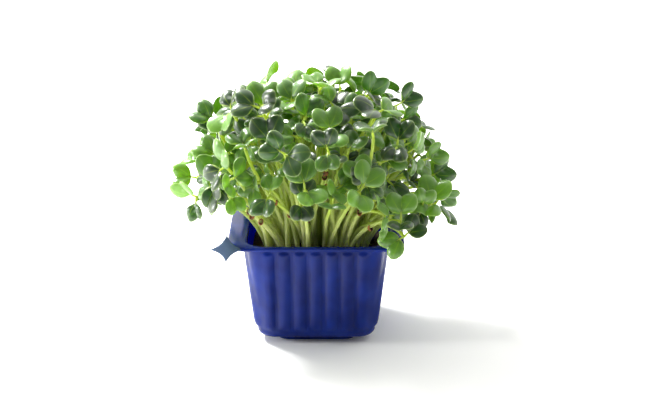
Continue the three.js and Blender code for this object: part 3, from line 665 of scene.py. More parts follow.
@dataclass
class Tray:
    """The formed sheet: foot, floor, fluted walls, flange and lip in one skin, and the offcut."""

    shape: TrayShape = TrayShape()
    flutes: int = 7
    pitch: float = 9.6
    flute_radius: float = 5.2
    flute_sunk: float = 3.5
    flute_low: float = 9.2
    flute_high: float = 61.4
    side_steps: int = 150
    corner_steps: int = 12
    wall_rows: int = 30
    star_sag: float = math.radians(38)
    star_waist: float = 0.22
    star_frost: float = 0.75
    star_rings: int = 9
    star_arc: int = 14

    def ring_points(self, sizes: Array) -> tuple[Array, Array, Array]:
        """Lay rounded rectangles, one for each row of sizes.

        Round corner k, the point is the corner's centre plus the radius at angles from k to k + 1
        quarter turns, and between corners it runs straight, in even steps.

        Args:
            sizes: Rows of half width, half depth, corner radius and height.

        Returns:
            Points by row and column, the outward direction of the side that each column belongs to,
            and how far along that side it is.
        """
        wide, deep, radius, height = (sizes[:, place, None] for place in range(4))
        sweep = np.linspace(0, 1, self.corner_steps + 1)
        blocks, outs = [], []
        quarter = np.array([[1, 1], [-1, 1], [-1, -1], [1, -1]])
        normals = np.array([[1, 0], [0, 1], [-1, 0], [0, -1]])
        for corner in range(4):
            angle = (corner + sweep) * math.pi / 2
            x = quarter[corner, 0] * (wide - radius) + radius * np.cos(angle)
            y = quarter[corner, 1] * (deep - radius) + radius * np.sin(angle)
            blocks.append(np.stack([x, y], axis=-1))
            early = (sweep < 0.5)[:, None]
            outs.append(np.where(early, normals[corner], normals[(corner + 1) % 4]))
        parts, directions = [], []
        steps = np.linspace(0, 1, self.side_steps + 1)[1:-1]
        for corner in range(4):
            start = blocks[corner][:, -1:, :]
            end = blocks[(corner + 1) % 4][:, :1, :]
            parts += [blocks[corner], start + (end - start) * steps[:, None]]
            directions += [outs[corner], np.tile(normals[(corner + 1) % 4], (len(steps), 1))]
        flat = np.concatenate(parts, axis=1)
        outward = np.concatenate(directions)
        along = np.abs(flat[:, :, 0] * outward[:, 1] - flat[:, :, 1] * outward[:, 0])
        points = np.concatenate([flat, np.broadcast_to(height[..., None], flat.shape[:2] + (1,))], axis=2)
        return points, outward, along

    def bulge(self, along: Array, height: Array) -> Array:
        """Work out how far the flutes stand out.

        Across, each flute is an arc of a circle that is sunk in the wall. Its ends fade by the square
        root of one less the share of its half height to a high power.

        Args:
            along: Distance along the side from its middle.
            height: Height of each point.

        Returns:
            Millimetres outwards.
        """
        middle = (self.flutes - 1) / 2
        nearest = np.clip(np.round(along / self.pitch), 0, middle) * self.pitch
        aside = np.minimum(np.abs(along - nearest), self.flute_radius)
        arc = np.maximum(0.0, np.sqrt(self.flute_radius**2 - aside**2) - self.flute_sunk)
        centre = (self.flute_low + self.flute_high) / 2
        half = (self.flute_high - self.flute_low) / 2
        ends = np.clip(np.abs(height - centre) / half, 0, 1)
        return arc * np.sqrt(1 - ends**18)

    def profile(self) -> Array:
        """List the rings from the middle of the outside base, over the rim, to the inside base.

        Returns:
            Rows of half width, half depth, corner radius and height.
        """
        form = self.shape
        outer = self.form_rings(0.0)
        inner = self.form_rings(form.wall)[::-1]
        lip_low = form.rim_height - form.lip
        under = form.rim_height - form.wall
        flange = [
            (-0.9, -0.9, -0.9, lip_low - under),
            (-0.25, -0.25, -0.25, lip_low - under),
            (0.0, 0.0, 0.0, lip_low + 0.25 - under),
            (0.0, 0.0, 0.0, form.wall - 0.35),
            (-0.35, -0.35, -0.35, form.wall),
        ]
        edge = np.array([form.flange_half_width, form.flange_half_depth, form.flange_corner, under])
        low_flange = edge + np.array([(-form.wall, -form.wall, -form.wall, 0.0)])
        high = form.half_width(form.rim_height)
        neck = np.array([[high + 0.2, high + 0.2, form.corner, under]])
        mouth = high - form.wall
        crest = np.array(
            [
                [mouth + 0.5, mouth + 0.5, form.corner - form.wall + 0.5, form.rim_height],
                [mouth + 0.1, mouth + 0.1, form.corner - form.wall + 0.1, form.rim_height - 0.15],
            ]
        )
        return np.concatenate([outer, neck, low_flange, edge + np.array(flange), crest, inner])

    def form_rings(self, inset: float) -> Array:
        """List the rings of the wall, floor and foot, brought in by inset.

        Args:
            inset: Millimetres inwards on every side.

        Returns:
            Rows of half width, half depth, corner radius and height, from the foot up.
        """
        form = self.shape
        rows = []
        for share in (0.02, 0.4, 0.8, 0.97):
            sizes = (form.foot_half_width, form.foot_half_depth, form.foot_corner)
            rows.append((*(size * share for size in sizes), inset))
        wide, deep = form.foot_half_width - inset, form.foot_half_depth - inset
        floor = form.floor + inset
        rows.append((wide - 0.15, deep - 0.15, form.foot_corner, inset + 0.15))
        rows.append((wide, deep, form.foot_corner, inset + 0.5))
        rows.append((wide, deep, form.foot_corner, floor - 0.4))
        rows.append((wide + 0.15, deep + 0.15, form.foot_corner, floor - 0.1))
        rows.append((wide + 0.6, deep + 0.6, form.foot_corner, floor))
        low = form.half_width(form.shoulder) - inset
        for turn in np.linspace(0, math.pi / 2, 7)[:-1]:
            out = low - 3.6 + 3.6 * math.sin(turn)
            rise = floor + 3.9 * (1 - math.cos(turn))
            rows.append((out, out, form.corner - 3.6 + 3.6 * math.sin(turn), rise))
        top = form.rim_height - form.wall - (0.2 if inset == 0 else 0.0)
        even = np.linspace(-1, 1, self.wall_rows)
        heights = form.shoulder + (top - form.shoulder) * (0.5 + 0.5 * np.sign(even) * np.abs(even) ** 0.45)
        halves = form.half_width(heights) - inset
        walls = np.stack([halves, halves, np.full_like(halves, form.corner - inset), heights], axis=1)
        return np.concatenate([np.array(rows), walls])

    def skin(self) -> Skin:
        """Make the tray's skin: the rings with the flutes pushed out, closed at both poles.

        Returns:
            The tray's closed skin and the offcut's.
        """
        sizes = self.profile()
        points, outward, along = self.ring_points(sizes)
        height = points[:, :, 2]
        middle = len(self.form_rings(0.0))
        on_wall = np.ones(len(sizes), bool)
        on_wall[middle : middle + 9] = False
        push = self.bulge(along, height) * on_wall[:, None]
        points[:, :, :2] += push[..., None] * outward
        rows, columns = height.shape
        flat = points.reshape(-1, 3)
        poles = np.array([[0, 0, sizes[0, 3]], [0, 0, sizes[-1, 3]]])
        everything = np.concatenate([flat, poles])
        made = Skin()
        # The side flanges get painted sheen, a paler grey blue standing in for reflected surroundings.
        made.add(everything, closed_faces(rows, columns), everything[:, :2], self.painted_flange_sheen(everything))
        self.add_star(made)
        return made

    def painted_flange_sheen(self, points: Array) -> Array:
        """Give the share of painted sheen, a grey blue reflection of the bright surroundings, on the side
        flanges: it rises to 0.12 over their first 12 mm.

        Args:
            points: Rows of x, y and z.

        Returns:
            Rows of that share and two noughts.
        """
        over = np.clip((np.abs(points[:, 0]) - self.shape.top_width / 2) / 12, 0, 1)
        high = points[:, 2] > self.shape.rim_height - self.shape.lip - 0.5
        # Painted sheen: grey blue for the reflection of the bright surroundings.
        share = np.where(high, 0.12 * over, 0.0)
        return np.stack([share, np.zeros_like(share), np.zeros_like(share)], axis=1)

    def add_star(self, made: Skin) -> None:
        """Add the four-pointed offcut.

        Its outline is four quadratic arcs drawn in to near the middle. Rings shrink it to the
        centre, the sheet is bowed a little along its fall, and it tips down towards the front.

        Args:
            made: The skin that it joins.
        """
        reach = self.shape.star_reach
        sweep = np.linspace(0, 1, self.star_arc + 1)[:-1]
        arcs = []
        for quarter in range(4):
            start = np.array([math.cos(quarter * math.pi / 2), math.sin(quarter * math.pi / 2)]) * reach
            end = np.array([-start[1], start[0]])
            pull = (start + end) * self.star_waist
            arcs.append(
                start * ((1 - sweep) ** 2)[:, None]
                + pull * (2 * sweep * (1 - sweep))[:, None]
                + end * (sweep**2)[:, None]
            )
        outline = np.concatenate(arcs)
        shares = np.linspace(0.1, 1, self.star_rings)[:, None, None]
        flat = outline[None] * shares
        bow = -0.010 * flat[..., 0] ** 2 + 0.006 * flat[..., 1] ** 2
        layers = []
        for lift in (self.shape.wall, 0.0):
            x, y, z = flat[..., 0], flat[..., 1], bow + lift
            turned_y = y * math.cos(self.star_sag) - z * math.sin(self.star_sag)
            turned_z = y * math.sin(self.star_sag) + z * math.cos(self.star_sag)
            centre = np.array(self.shape.star_centre)
            layers.append(np.stack([x, turned_y, turned_z], axis=-1) + centre - (0, 0, 0.4))
        upper, lower = layers[0], layers[1][::-1]
        grid = np.concatenate([upper, lower])
        rows, columns = grid.shape[:2]
        points = grid.reshape(-1, 3)
        hubs = np.array([upper[0].mean(axis=0), lower[-1].mean(axis=0)])
        everything = np.concatenate([points, hubs])
        pale = np.tile([self.star_frost, 0.0, 0.0], (len(everything), 1))
        made.add(everything, closed_faces(rows, columns, flipped=True), everything[:, :2], pale)

    def dress(self, material: bpy.types.Material) -> bpy.types.Object:
        """Make the piece and have it stand for its node.

        Args:
            material: The tray's plastic.

        Returns:
            The tray's piece.
        """
        piece = self.skin().piece("formed_tray", [material])
        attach(piece, "root")
        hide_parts("tray")
        return piece


@dataclass(frozen=True)
class CrownShape:
    """How the sprouts stand, as in the model: sizes in millimetres, shares and powers."""

    pad_top: float = 49.6
    across: int = 6
    pitch: float = 11.6
    root_offset: float = 1.25
    per_tuft: int = 4
    tries: int = 260
    shrink: float = 0.2
    half_width: float = 76.0
    half_depth: float = 67.0
    base: float = 72.6
    rise: float = 84.0
    power: float = 0.62
    squareness: float = 2.5
    pad_squareness: float = 6.0
    turn: float = 0.9
    edge: float = 1.03
    front_lift: float = 14.0
    arch_below: float = 108.6
    width_to_length: float = 1.5
    leaf_to_leaf: float = 3.1
    leaf_to_stem: float = 3.0
    stem_to_stem: float = 3.0
    tuft_mates: float = 2.45
    own_stem_skipped: int = 3
    stem_samples: int = 22
    stem_to_wall: float = 2.2
    seed: int = 20817
    crown_half_width: float = 90.0
    crown_half_depth: float = 84.0
    crown_top: float = 166.6
    front_hem: float = 87.6
    left_hem: float = 75.6
    low_hem: float = 57.6
    hem_front: float = -38.0
    hem_right: float = 36.0
    view_angle: float = math.radians(18)
    view_distance: float = 1000.0
    view_target: tuple[float, float, float] = (10.0, -43.0, 93.6)
    view_centre: tuple[float, float] = (10.0, 80.9)

    @property
    def half_pad(self) -> float:
        """Give half the width over the tufts' places."""
        return (self.across - 1) / 2 * self.pitch


@dataclass(frozen=True)
class FrontLeaf:
    """A cotyledon that stands out in the front view, in millimetres and degrees of that view."""

    across: float
    up: float
    turn: float
    nod: float
    roll: float
    open: float
    width: float


FRONT_LEAVES = tuple(
    FrontLeaf(*sizes)
    for sizes in (
        (-31, 147, 92, 0, 0, 60, 21),
        (-68, 134, 150, 0, 25, 70, 18),
        (-48, 136, 165, -35, 30, 60, 19),
        (-62, 126, 225, 20, 45, 80, 18),
        (-34, 158, 50, 0, 78, 60, 17),
        (-18, 158, 90, -20, 10, 60, 18),
        (-14, 149, 88, -10, -15, 65, 19),
        (-4, 139, 75, 0, 25, 70, 19),
        (14, 157, 95, 0, -10, 65, 17),
        (35, 152, 60, 10, 30, 70, 20),
        (56, 145, 45, -10, 30, 70, 18),
        (-29, 126, 100, 10, 0, 70, 21),
        (-45, 119, 120, -50, 10, 70, 17),
        (-20, 119, 95, -68, 5, 80, 21),
        (-66, 114, 140, 0, 20, 70, 18),
        (-61, 104, 95, 25, 0, 80, 21),
        (-2, 115, 262, 15, 30, 95, 20),
        (7, 132, 100, 0, 15, 65, 19),
        (25, 139, 60, 0, -25, 65, 18),
        (33, 125, 100, -65, 0, 75, 21),
        (50, 125, 80, 0, -10, 60, 19),
        (57, 132, 25, -20, 20, 70, 16),
        (61, 118, 60, 0, 75, 60, 18),
        (11, 113, 45, 0, 20, 70, 18),
        (45, 113, 90, 5, 0, 65, 20),
        (72, 111, 40, 0, 35, 70, 17),
        (-80, 96, 182, 0, 20, 75, 17),
        (-74, 107, 160, -20, 45, 70, 16),
        (-43, 99, 35, -30, 20, 75, 18),
        (-30, 104, 95, 0, 0, 60, 21),
        (-9, 100, 105, 0, 20, 65, 20),
        (-66, 87, 185, 10, 30, 80, 18),
        (-49, 86, 95, 5, -5, 60, 21),
        (-31, 77, 250, 20, 35, 85, 18),
        (-19, 81, 272, 10, 5, 95, 21),
        (2, 93, 50, 0, 30, 70, 18),
        (32, 98, 62, 0, 10, 65, 20),
        (45, 92, 5, 10, 30, 80, 18),
        (51, 81, 90, 0, 0, 65, 19),
        (13, 77, 190, 0, 20, 75, 18),
        (9, 88, 90, -45, 5, 75, 19),
        (76, 101, 30, 0, 30, 70, 18),
        (71, 90, 75, 0, -10, 65, 21),
        (80, 83, 350, 0, 45, 80, 17),
        (63, 78, 270, 10, 10, 90, 19),
        (60, 69, 300, 10, 15, 85, 17),
        (45, 56, 215, 15, 15, 90, 18),
    )
)

# How the drawn sizes and directions spread: a first value and a span. Lengths are in millimetres,
# openings and the front leaves' turns in degrees, other leans in radians, and the rest are shares.
PETIOLE_LENGTH = (3.5, 2)
FOLD = (0.1, 0.4)
CURL = (-0.1, 0.35)
LEAF_WIDTH = (18, 4)
PARTNER_SIZE = (0.82, 0.15)
FIRST_OPEN = (45, 45)
PARTNER_OPEN = (50, 40)
TURN_SPREAD = 6
TILT_SPREAD = 8
PLACE_SPREAD = 0.6
DEPTH_FIRST = 0.1
DEPTH_LATER = 0.42
LEAN_RIM = 1.1
LEAN_SHARE = 1.3
LEAN_SPREAD = 0.9
AXIS_SPREAD = 1.1
LEAD_ALONG_STEM = 0.6
LEAD_ALONG_LEAF = 0.8
LEAF_CENTRE = 0.55
FOLD_POWER = 1.3
FRONT_TRIES = 14
FRONT_STEP = 1.5
TOP_LEAF_FRONT = 8
STEM_FOOT_SUNK = 1
DOME_SINK = 12

LEAF_SIDE: Outline = ((0.14, 0.66), (0.62, 1.02), (0.99, 0.56))
LEAF_NOTCH = (0.8, 0.0)
LEAF_MIDDLE = (0.42, 0.0)


def sample_places() -> Array:
    """List the places on a cotyledon where its clearance is tested.

    Returns:
        Rows of the share along the midrib and across half the width: the middle, the outline's
        points, the middles of its edges, and the middles of the lines to the leaf's middle.
    """
    outline = np.array(
        [(along, -across) for along, across in LEAF_SIDE]
        + [LEAF_NOTCH]
        + [(along, across) for along, across in reversed(LEAF_SIDE)]
        + [(0.0, 0.0)]
    )
    after = np.roll(outline, -1, axis=0)
    spokes = np.stack([(outline[:, 0] + LEAF_MIDDLE[0]) / 2, outline[:, 1] / 2], axis=1)
    return np.concatenate([[LEAF_MIDDLE], outline, (outline + after) / 2, spokes])


SAMPLES = sample_places()


@dataclass
class Cotyledon:
    """One seed leaf: where its petiole starts, where the blade starts, its directions and size."""

    start: Array
    base: Array
    midrib: Array
    normal: Array
    side: Array
    length: float
    width: float
    fold: float
    curl: float

    def surface(self, along: Array, across: Array) -> Array:
        """Give the blade's middle surface.

        The point is the base plus its share of the length along the midrib and of half the width
        across, lifted by the fold times the share across to FOLD_POWER, and lowered by the curl
        times the square of the share along.

        Args:
            along: Shares along the midrib.
            across: Shares of half the width.

        Returns:
            Points in millimetres.
        """
        half = self.width / 2
        lift = self.fold * half * np.abs(across) ** FOLD_POWER - self.curl * self.length * along * along
        return (
            self.base
            + (along * self.length)[..., None] * self.midrib
            + (across * half)[..., None] * self.side
            + lift[..., None] * self.normal
        )


@dataclass
class Sprout:
    """One seedling: its tuft, head, stem and two cotyledons, and its clearance points."""

    tuft: int
    head: Array
    axis: Array
    controls: Array
    leaves: list[Cotyledon]
    leaf_points: Array
    stem_points: Array

    def stem(self, shares: Array) -> Array:
        """Give points of the stem's cubic Bezier curve at shares of its parameter."""
        return bezier(self.controls, shares)


def drawn(spread: tuple[float, float], draw: Draws) -> float:
    """Draw a value between the first of a spread and that plus its span."""
    return spread[0] + spread[1] * draw()


def lead_of(axis: Array, midrib: Array) -> Array:
    """Give a petiole's direction, between the stem's and the midrib's."""
    return unit(axis * LEAD_ALONG_STEM + midrib * LEAD_ALONG_LEAF)


def bezier(controls: Array, shares: Array) -> Array:
    """Give points of a cubic Bezier curve.

    Args:
        controls: Four control points.
        shares: Parameters from 0 to 1.

    Returns:
        A point for each share.
    """
    left = (1 - shares)[:, None]
    right = shares[:, None]
    return (
        left**3 * controls[0]
        + 3 * left**2 * right * controls[1]
        + 3 * left * right**2 * controls[2]
        + right**3 * controls[3]
    )


@dataclass(frozen=True)
class CloseTest:
    """Clearance distances between sprouts, in millimetres."""

    leaf_to_leaf: float
    leaf_to_stem: float
    stem_to_stem: float
    tuft_mates: float


def near(points: Array, others: Array, distance: float) -> bool:
    """Say whether any point of one set comes within a distance of any of another.

    Args:
        points: The first set.
        others: The second set.
        distance: The distance in millimetres.

    Returns:
        True where two points are closer than the distance.
    """
    low = points.min(axis=0) - distance
    high = points.max(axis=0) + distance
    close = others[np.all((others > low) & (others < high), axis=1)]
    if not len(close):
        return False
    gaps = points[:, None, :] - close[None, :, :]
    return bool(np.any(np.einsum("ijk,ijk->ij", gaps, gaps) < distance * distance))


@dataclass
class Crown:
    """Grows the sprouts by a seeded rule: those of the front view first, then each tuft's others."""

    shape: CrownShape = CrownShape()
    tray: TrayShape = TrayShape()
    crowded: CloseTest = CloseTest(1.5, 1.4, 1.5, 1.5)
    keep_in: float = 0.93
    tries_each: int = 50
    sprouts: list[Sprout] = field(default_factory=list)
    extra: list[Sprout] = field(default_factory=list)

    def places(self) -> Array:
        """Give the place of each tuft's root collar on the pad, row by row."""
        steps = (np.arange(self.shape.across) - (self.shape.across - 1) / 2) * self.shape.pitch
        x, y = np.meshgrid(steps, steps)
        return np.stack([x.ravel(), y.ravel()], axis=1)

    def square_radius(self, x: float, y: float, power: float) -> float:
        """Give how far out a place in plan lies, on rims that are squarer for a larger power."""
        return math.pow(math.pow(abs(x), power) + math.pow(abs(y), power), 1 / power)

    def dome_point(self, u: float, v: float, depth: float) -> Array:
        """Give the dome's point over a place of the pad.

        The spread of the place gives the cosine of the slope, which falls with its square. The
        height follows the cosine to a power, and the distance out follows the sine.

        Args:
            u: Place across the pad, from -1 to 1.
            v: Place along the pad, from -1 to 1.
            depth: Scale about a point low in the dome, 1 on its surface.

        Returns:
            The point in millimetres.
        """
        form = self.shape
        spread = min(form.edge, self.square_radius(u, v, form.pad_squareness))
        cosine = max(0.0, 1 - form.turn * spread * spread)
        sine = math.sqrt(1 - cosine * cosine)
        reach = sine / max(1e-6, self.square_radius(u, v, form.squareness)) * depth
        height = form.base + (form.rise * math.pow(cosine, form.power) + DOME_SINK) * depth - DOME_SINK
        return np.array([form.half_width * reach * u, form.half_depth * reach * v, height])

    def root_under(self, point: Array) -> Array:
        """Give the place of the pad that the dome's point over it belongs to.

        Args:
            point: A point on or in the dome.

        Returns:
            The place, two values in millimetres.
        """
        form = self.shape
        x, y = point[0] / form.half_width, point[1] / form.half_depth
        sine = min(1.0, self.square_radius(x, y, form.squareness))
        spread = math.sqrt((1 - math.sqrt(1 - sine * sine)) / form.turn)
        scale = spread / max(1e-6, self.square_radius(x, y, form.pad_squareness)) * form.half_pad
        return np.array([x * scale, y * scale])

    def view_point(self, across: float, up: float, y: float) -> Array:
        """Give the point at depth y that shows at (across, up) in the front view.

        Args:
            across: Millimetres across the view.
            up: Millimetres up the view.
            y: The point's own y.

        Returns:
            The point.
        """
        form = self.shape
        sine, cosine = math.sin(form.view_angle), math.cos(form.view_angle)
        back = y - form.view_target[1]
        rise = up - form.view_centre[1]
        over = rise * (1 + (back * cosine) / form.view_distance) - back * sine
        high = over / (cosine + (rise * sine) / form.view_distance)
        scale = 1 + (back * cosine - high * sine) / form.view_distance
        aside = form.view_target[0] + (across - form.view_centre[0]) * scale
        return np.array([aside, y, form.view_target[2] + high])

    def inside_dome(self, point: Array) -> bool:
        """Say whether a point lies inside the dome.

        Args:
            point: The point.

        Returns:
            Whether it does.
        """
        form = self.shape
        out = self.square_radius(point[0] / form.half_width, point[1] / form.half_depth, form.squareness)
        if point[2] < form.base:
            return out < 1
        level = min(1.0, (point[2] - form.base) / form.rise)
        cosine = math.pow(level, 1 / form.power)
        return out < math.sqrt(1 - cosine * cosine)

    def front_point(self, across: float, up: float, sunk: float) -> Array:
        """Give the dome's nearest point at (across, up) in the front view, moved back by sunk.

        Args:
            across: Millimetres across the view.
            up: Millimetres up the view.
            sunk: How far back from the dome's front it is put.

        Returns:
            The point.
        """
        y = -self.shape.half_depth
        while y < 0:
            if self.inside_dome(self.view_point(across, up, y)):
                return self.view_point(across, up, y + sunk)
            y += 1
        return self.view_point(across, up, sunk - TOP_LEAF_FRONT)

    def cotyledon(
        self, start: Array, axis: Array, midrib: Array, normal: Array, width: float, bend: Bend
    ) -> Cotyledon:
        """Make a seed leaf.

        Args:
            start: Where its petiole leaves the stem.
            axis: The stem's direction there.
            midrib: The blade's direction.
            normal: The direction of its upper side.
            width: Its width in millimetres.
            bend: The petiole's length, and how far the blade folds up and curls down.

        Returns:
            The seed leaf.
        """
        lead = lead_of(axis, midrib)
        return Cotyledon(
            start=start,
            base=settled(start + lead * bend[0]),
            midrib=settled(midrib),
            normal=settled(normal),
            side=settled(np.cross(normal, midrib)),
            length=width / self.shape.width_to_length,
            width=width,
            fold=bend[1],
            curl=bend[2],
        )

    def bend(self, draw: Draws) -> Bend:
        """Draw a petiole's length, and how far its blade folds up and curls down."""
        petiole = drawn(PETIOLE_LENGTH, draw)
        fold = drawn(FOLD, draw)
        return petiole, fold, drawn(CURL, draw)

    def stem_controls(self, root: Array, head: Array, axis: Array) -> Array:
        """Give the control points of a stem that rises from its root and leans over to its head.

        Args:
            root: Its place on the pad.
            head: Where it forks.
            axis: Its direction at the head.

        Returns:
            Four points.
        """
        form = self.shape
        foot = np.array([root[0], root[1], form.pad_top - STEM_FOOT_SUNK])
        reach = head - foot
        size = math.sqrt(float(reach @ reach))
        arch = max(0.0, form.arch_below - head[2]) * 0.5
        arrive = axis * 0.5 + reach * (0.5 / size)
        arrive = unit(arrive + np.array([0, 0, 0.15]))
        rise = foot + np.array([reach[0] * 0.08, reach[1] * 0.08, size * 0.4 + arch * 0.7])
        fall = head - arrive * (0.3 * size) + np.array([0, 0, arch])
        return np.array([foot, rise, fall, head])

    def sprout(self, tuft: int, place: Array, head: Array, axis: Array, leaves: list[Cotyledon]) -> Sprout:
        """Put a sprout together from its head, its axis there and its leaves.

        Args:
            tuft: The number of its tuft, or -1 for one of its own.
            place: The middle of its collar.
            head: Where the petioles leave the stem.
            axis: The stem's direction there.
            leaves: Its two cotyledons.

        Returns:
            The sprout, with its clearance points.
        """
        form = self.shape
        ideal = self.dome_point(place[0] / form.half_pad, place[1] / form.half_pad, 1.0)
        aside = unit(head[:2] - ideal[:2])
        controls = self.stem_controls(place + aside * form.root_offset, head, axis)
        shares = np.arange(2, form.stem_samples + 1) / form.stem_samples
        leaf_points = np.concatenate([settled(leaf.surface(SAMPLES[:, 0], SAMPLES[:, 1])) for leaf in leaves])
        return Sprout(tuft, head, axis, controls, leaves, leaf_points, settled(bezier(controls, shares)))

    def hem(self, points: Array) -> Array:
        """Give the height that leaves keep above at each point.

        Args:
            points: Rows of points.

        Returns:
            A height for each.
        """
        form = self.shape
        front = (points[:, 1] < form.hem_front) & (points[:, 0] < form.hem_right)
        aside = np.where(points[:, 0] < -self.tray.flange_half_width, form.left_hem, form.low_hem)
        return np.where(front, form.front_hem, aside)

    def clear_of_tray(self, points: Array, is_leaf: bool) -> bool:
        """Say whether points keep clear of the tray and inside the crown's bounds.

        Args:
            points: The points to test.
            is_leaf: Whether they are on a leaf and not on a stem.

        Returns:
            True where all of them are clear.
        """
        form, tray = self.shape, self.tray
        x, y, z = np.abs(points[:, 0]), np.abs(points[:, 1]), points[:, 2]
        if np.any((x > form.crown_half_width) | (y > form.crown_half_depth) | (z > form.crown_top)):
            return False
        if is_leaf and np.any(z < self.hem(points)):
            return False
        margin = form.leaf_to_stem if is_leaf else form.stem_to_wall
        low = z <= tray.rim_height + margin + 1
        reach = np.maximum(x, y)
        if not is_leaf:
            return bool(np.all(~low | (reach < tray.half_width(z) - tray.wall - margin)))
        past = (x > tray.flange_half_width + margin) | (y > tray.flange_half_depth + margin)
        aside = np.hypot(points[:, 0] - tray.star_centre[0], points[:, 1] - tray.star_centre[1])
        return bool(np.all(~low | (past & (aside > tray.star_reach + margin))))

    def has_room(self, one: Sprout, others: list[Sprout], test: CloseTest) -> bool:
        """Say whether a new sprout keeps clear of the tray, of itself and of those placed so far.

        Args:
            one: The new sprout.
            others: The sprouts placed so far.
            test: The clearances to keep.

        Returns:
            True where it has room.
        """
        if not self.clear_of_tray(one.leaf_points, True) or not self.clear_of_tray(one.stem_points, False):
            return False
        own = one.stem_points[: -self.shape.own_stem_skipped]
        if near(one.leaf_points, own, test.leaf_to_stem):
            return False
        if not others:
            return True
        leaves = np.concatenate([other.leaf_points for other in others])
        stems = np.concatenate([other.stem_points for other in others])
        if near(one.leaf_points, leaves, test.leaf_to_leaf):
            return False
        if near(one.leaf_points, stems, test.leaf_to_stem):
            return False
        if near(one.stem_points, leaves, test.leaf_to_stem):
            return False
        mates = [other.stem_points for other in others if other.tuft == one.tuft]
        rest = [other.stem_points for other in others if other.tuft != one.tuft]
        if mates and near(one.stem_points, np.concatenate(mates), test.tuft_mates):
            return False
        return not (rest and near(one.stem_points, np.concatenate(rest), test.stem_to_stem))

    def paired_leaf(self, head: Array, axis: Array, away: Array, width: float, draw: Draws) -> Cotyledon:
        """Make the second cotyledon, on the other side of the stem.

        Args:
            head: Where the stem forks.
            axis: The stem's direction there.
            away: The side of the first cotyledon.
            width: The blade's width.
            draw: The draws.

        Returns:
            The cotyledon.
        """
        opened = math.radians(drawn(PARTNER_OPEN, draw))
        midrib = axis * math.cos(opened) - away * math.sin(opened)
        normal = axis * math.sin(opened) + away * math.cos(opened)
        return self.cotyledon(head, axis, midrib, normal, width, self.bend(draw))

    def front_sprout(self, wish: FrontLeaf, sunk: float, draw: Draws, free: Array) -> Sprout:
        """Make a sprout whose first cotyledon shows in the front view as it was seen.

        Args:
            wish: The cotyledon as seen.
            sunk: How far behind the dome's surface it is.
            draw: The draws.
            free: How many sprouts each tuft has room for.

        Returns:
            The sprout, in the nearest free tuft.
        """
        angle = self.shape.view_angle
        to_view = np.array([0, -math.cos(angle), math.sin(angle)])
        up_view = np.array([0, math.sin(angle), math.cos(angle)])
        turn = math.radians(wish.turn + TURN_SPREAD * (draw() - 0.5))
        midrib = np.array([math.cos(turn), 0, 0]) + up_view * math.sin(turn)
        side = np.cross(to_view, midrib)
        nod = math.radians(wish.nod + TILT_SPREAD * (draw() - 0.5))
        midrib = turned(midrib, side, -nod)
        normal = turned(to_view, side, -nod)
        roll = math.radians(wish.roll + TILT_SPREAD * (draw() - 0.5))
        normal = turned(normal, midrib, roll)
        opened = math.radians(wish.open)
        axis = midrib * math.cos(opened) + normal * math.sin(opened)
        away = midrib * math.sin(opened) - normal * math.cos(opened)
        bend = self.bend(draw)
        centre = self.front_point(wish.across, wish.up, sunk)
        lead = lead_of(axis, midrib)
        half = wish.width / self.shape.width_to_length * LEAF_CENTRE
        head = settled(centre - midrib * half - lead * bend[0])
        partner = self.paired_leaf(head, axis, away, wish.width * drawn(PARTNER_SIZE, draw), draw)
        first = self.cotyledon(head, axis, midrib, normal, wish.width, bend)
        return self.in_nearest_tuft(head, axis, [first, partner], free)

    def in_nearest_tuft(self, head: Array, axis: Array, leaves: list[Cotyledon], free: Array) -> Sprout:
        """Give a sprout the free tuft whose root place is nearest under its head.

        Args:
            head: Where the stem forks.
            axis: The stem's direction there.
            leaves: Its two cotyledons.
            free: How many sprouts each tuft still takes.

        Returns:
            The sprout.
        """
        places = self.places()
        gaps = np.floor(((places - self.root_under(head)) ** 2).sum(axis=1) * 1e4 + 0.5)
        best = int(np.argmin(np.where(free > 0, gaps, np.inf)))
        return self.sprout(best, places[best], head, axis, leaves)

    def dome_sprout(self, tuft: int, place: Array, tried: float, draw: Draws) -> Sprout:
        """Make a sprout over a tuft, with a head drawn near the dome's point over it.

        Args:
            tuft: The tuft's number.
            place: The tuft's place.
            tried: The share of the tries used up: later ones are deeper inside and smaller.
            draw: The draws.

        Returns:
            The sprout.
        """
        form = self.shape
        u = place[0] / form.half_pad + PLACE_SPREAD * (draw() - 0.5)
        v = place[1] / form.half_pad + PLACE_SPREAD * (draw() - 0.5)
        over = self.dome_point(u, v, 1 - draw() * (DEPTH_FIRST + DEPTH_LATER * tried))
        if over[0] < form.hem_right:
            over[2] += form.front_lift * max(0.0, -v)
        head = settled(over)
        outward = unit(np.array([head[0], head[1], 0.0]))
        rim = min(LEAN_RIM, self.square_radius(u, v, form.squareness))
        lean = rim * LEAN_SHARE + LEAN_SPREAD * (draw() - 0.5)
        up = np.array([0.0, 0.0, 1.0])
        axis = turned(up * math.cos(lean) + outward * math.sin(lean), up, AXIS_SPREAD * (draw() - 0.5))
        any_way = up if abs(axis[2]) < 0.9 else np.array([1.0, 0.0, 0.0])
        across = turned(unit(np.cross(any_way, axis)), axis, 2 * math.pi * draw())
        opened = math.radians(drawn(FIRST_OPEN, draw))
        width = (1 - form.shrink * tried) * drawn(LEAF_WIDTH, draw)
        midrib = axis * math.cos(opened) + across * math.sin(opened)
        normal = axis * math.sin(opened) - across * math.cos(opened)
        first = self.cotyledon(head, axis, midrib, normal, width, self.bend(draw))
        second = self.paired_leaf(head, axis, across, width * drawn(PARTNER_SIZE, draw), draw)
        return self.sprout(tuft, place, head, axis, [first, second])

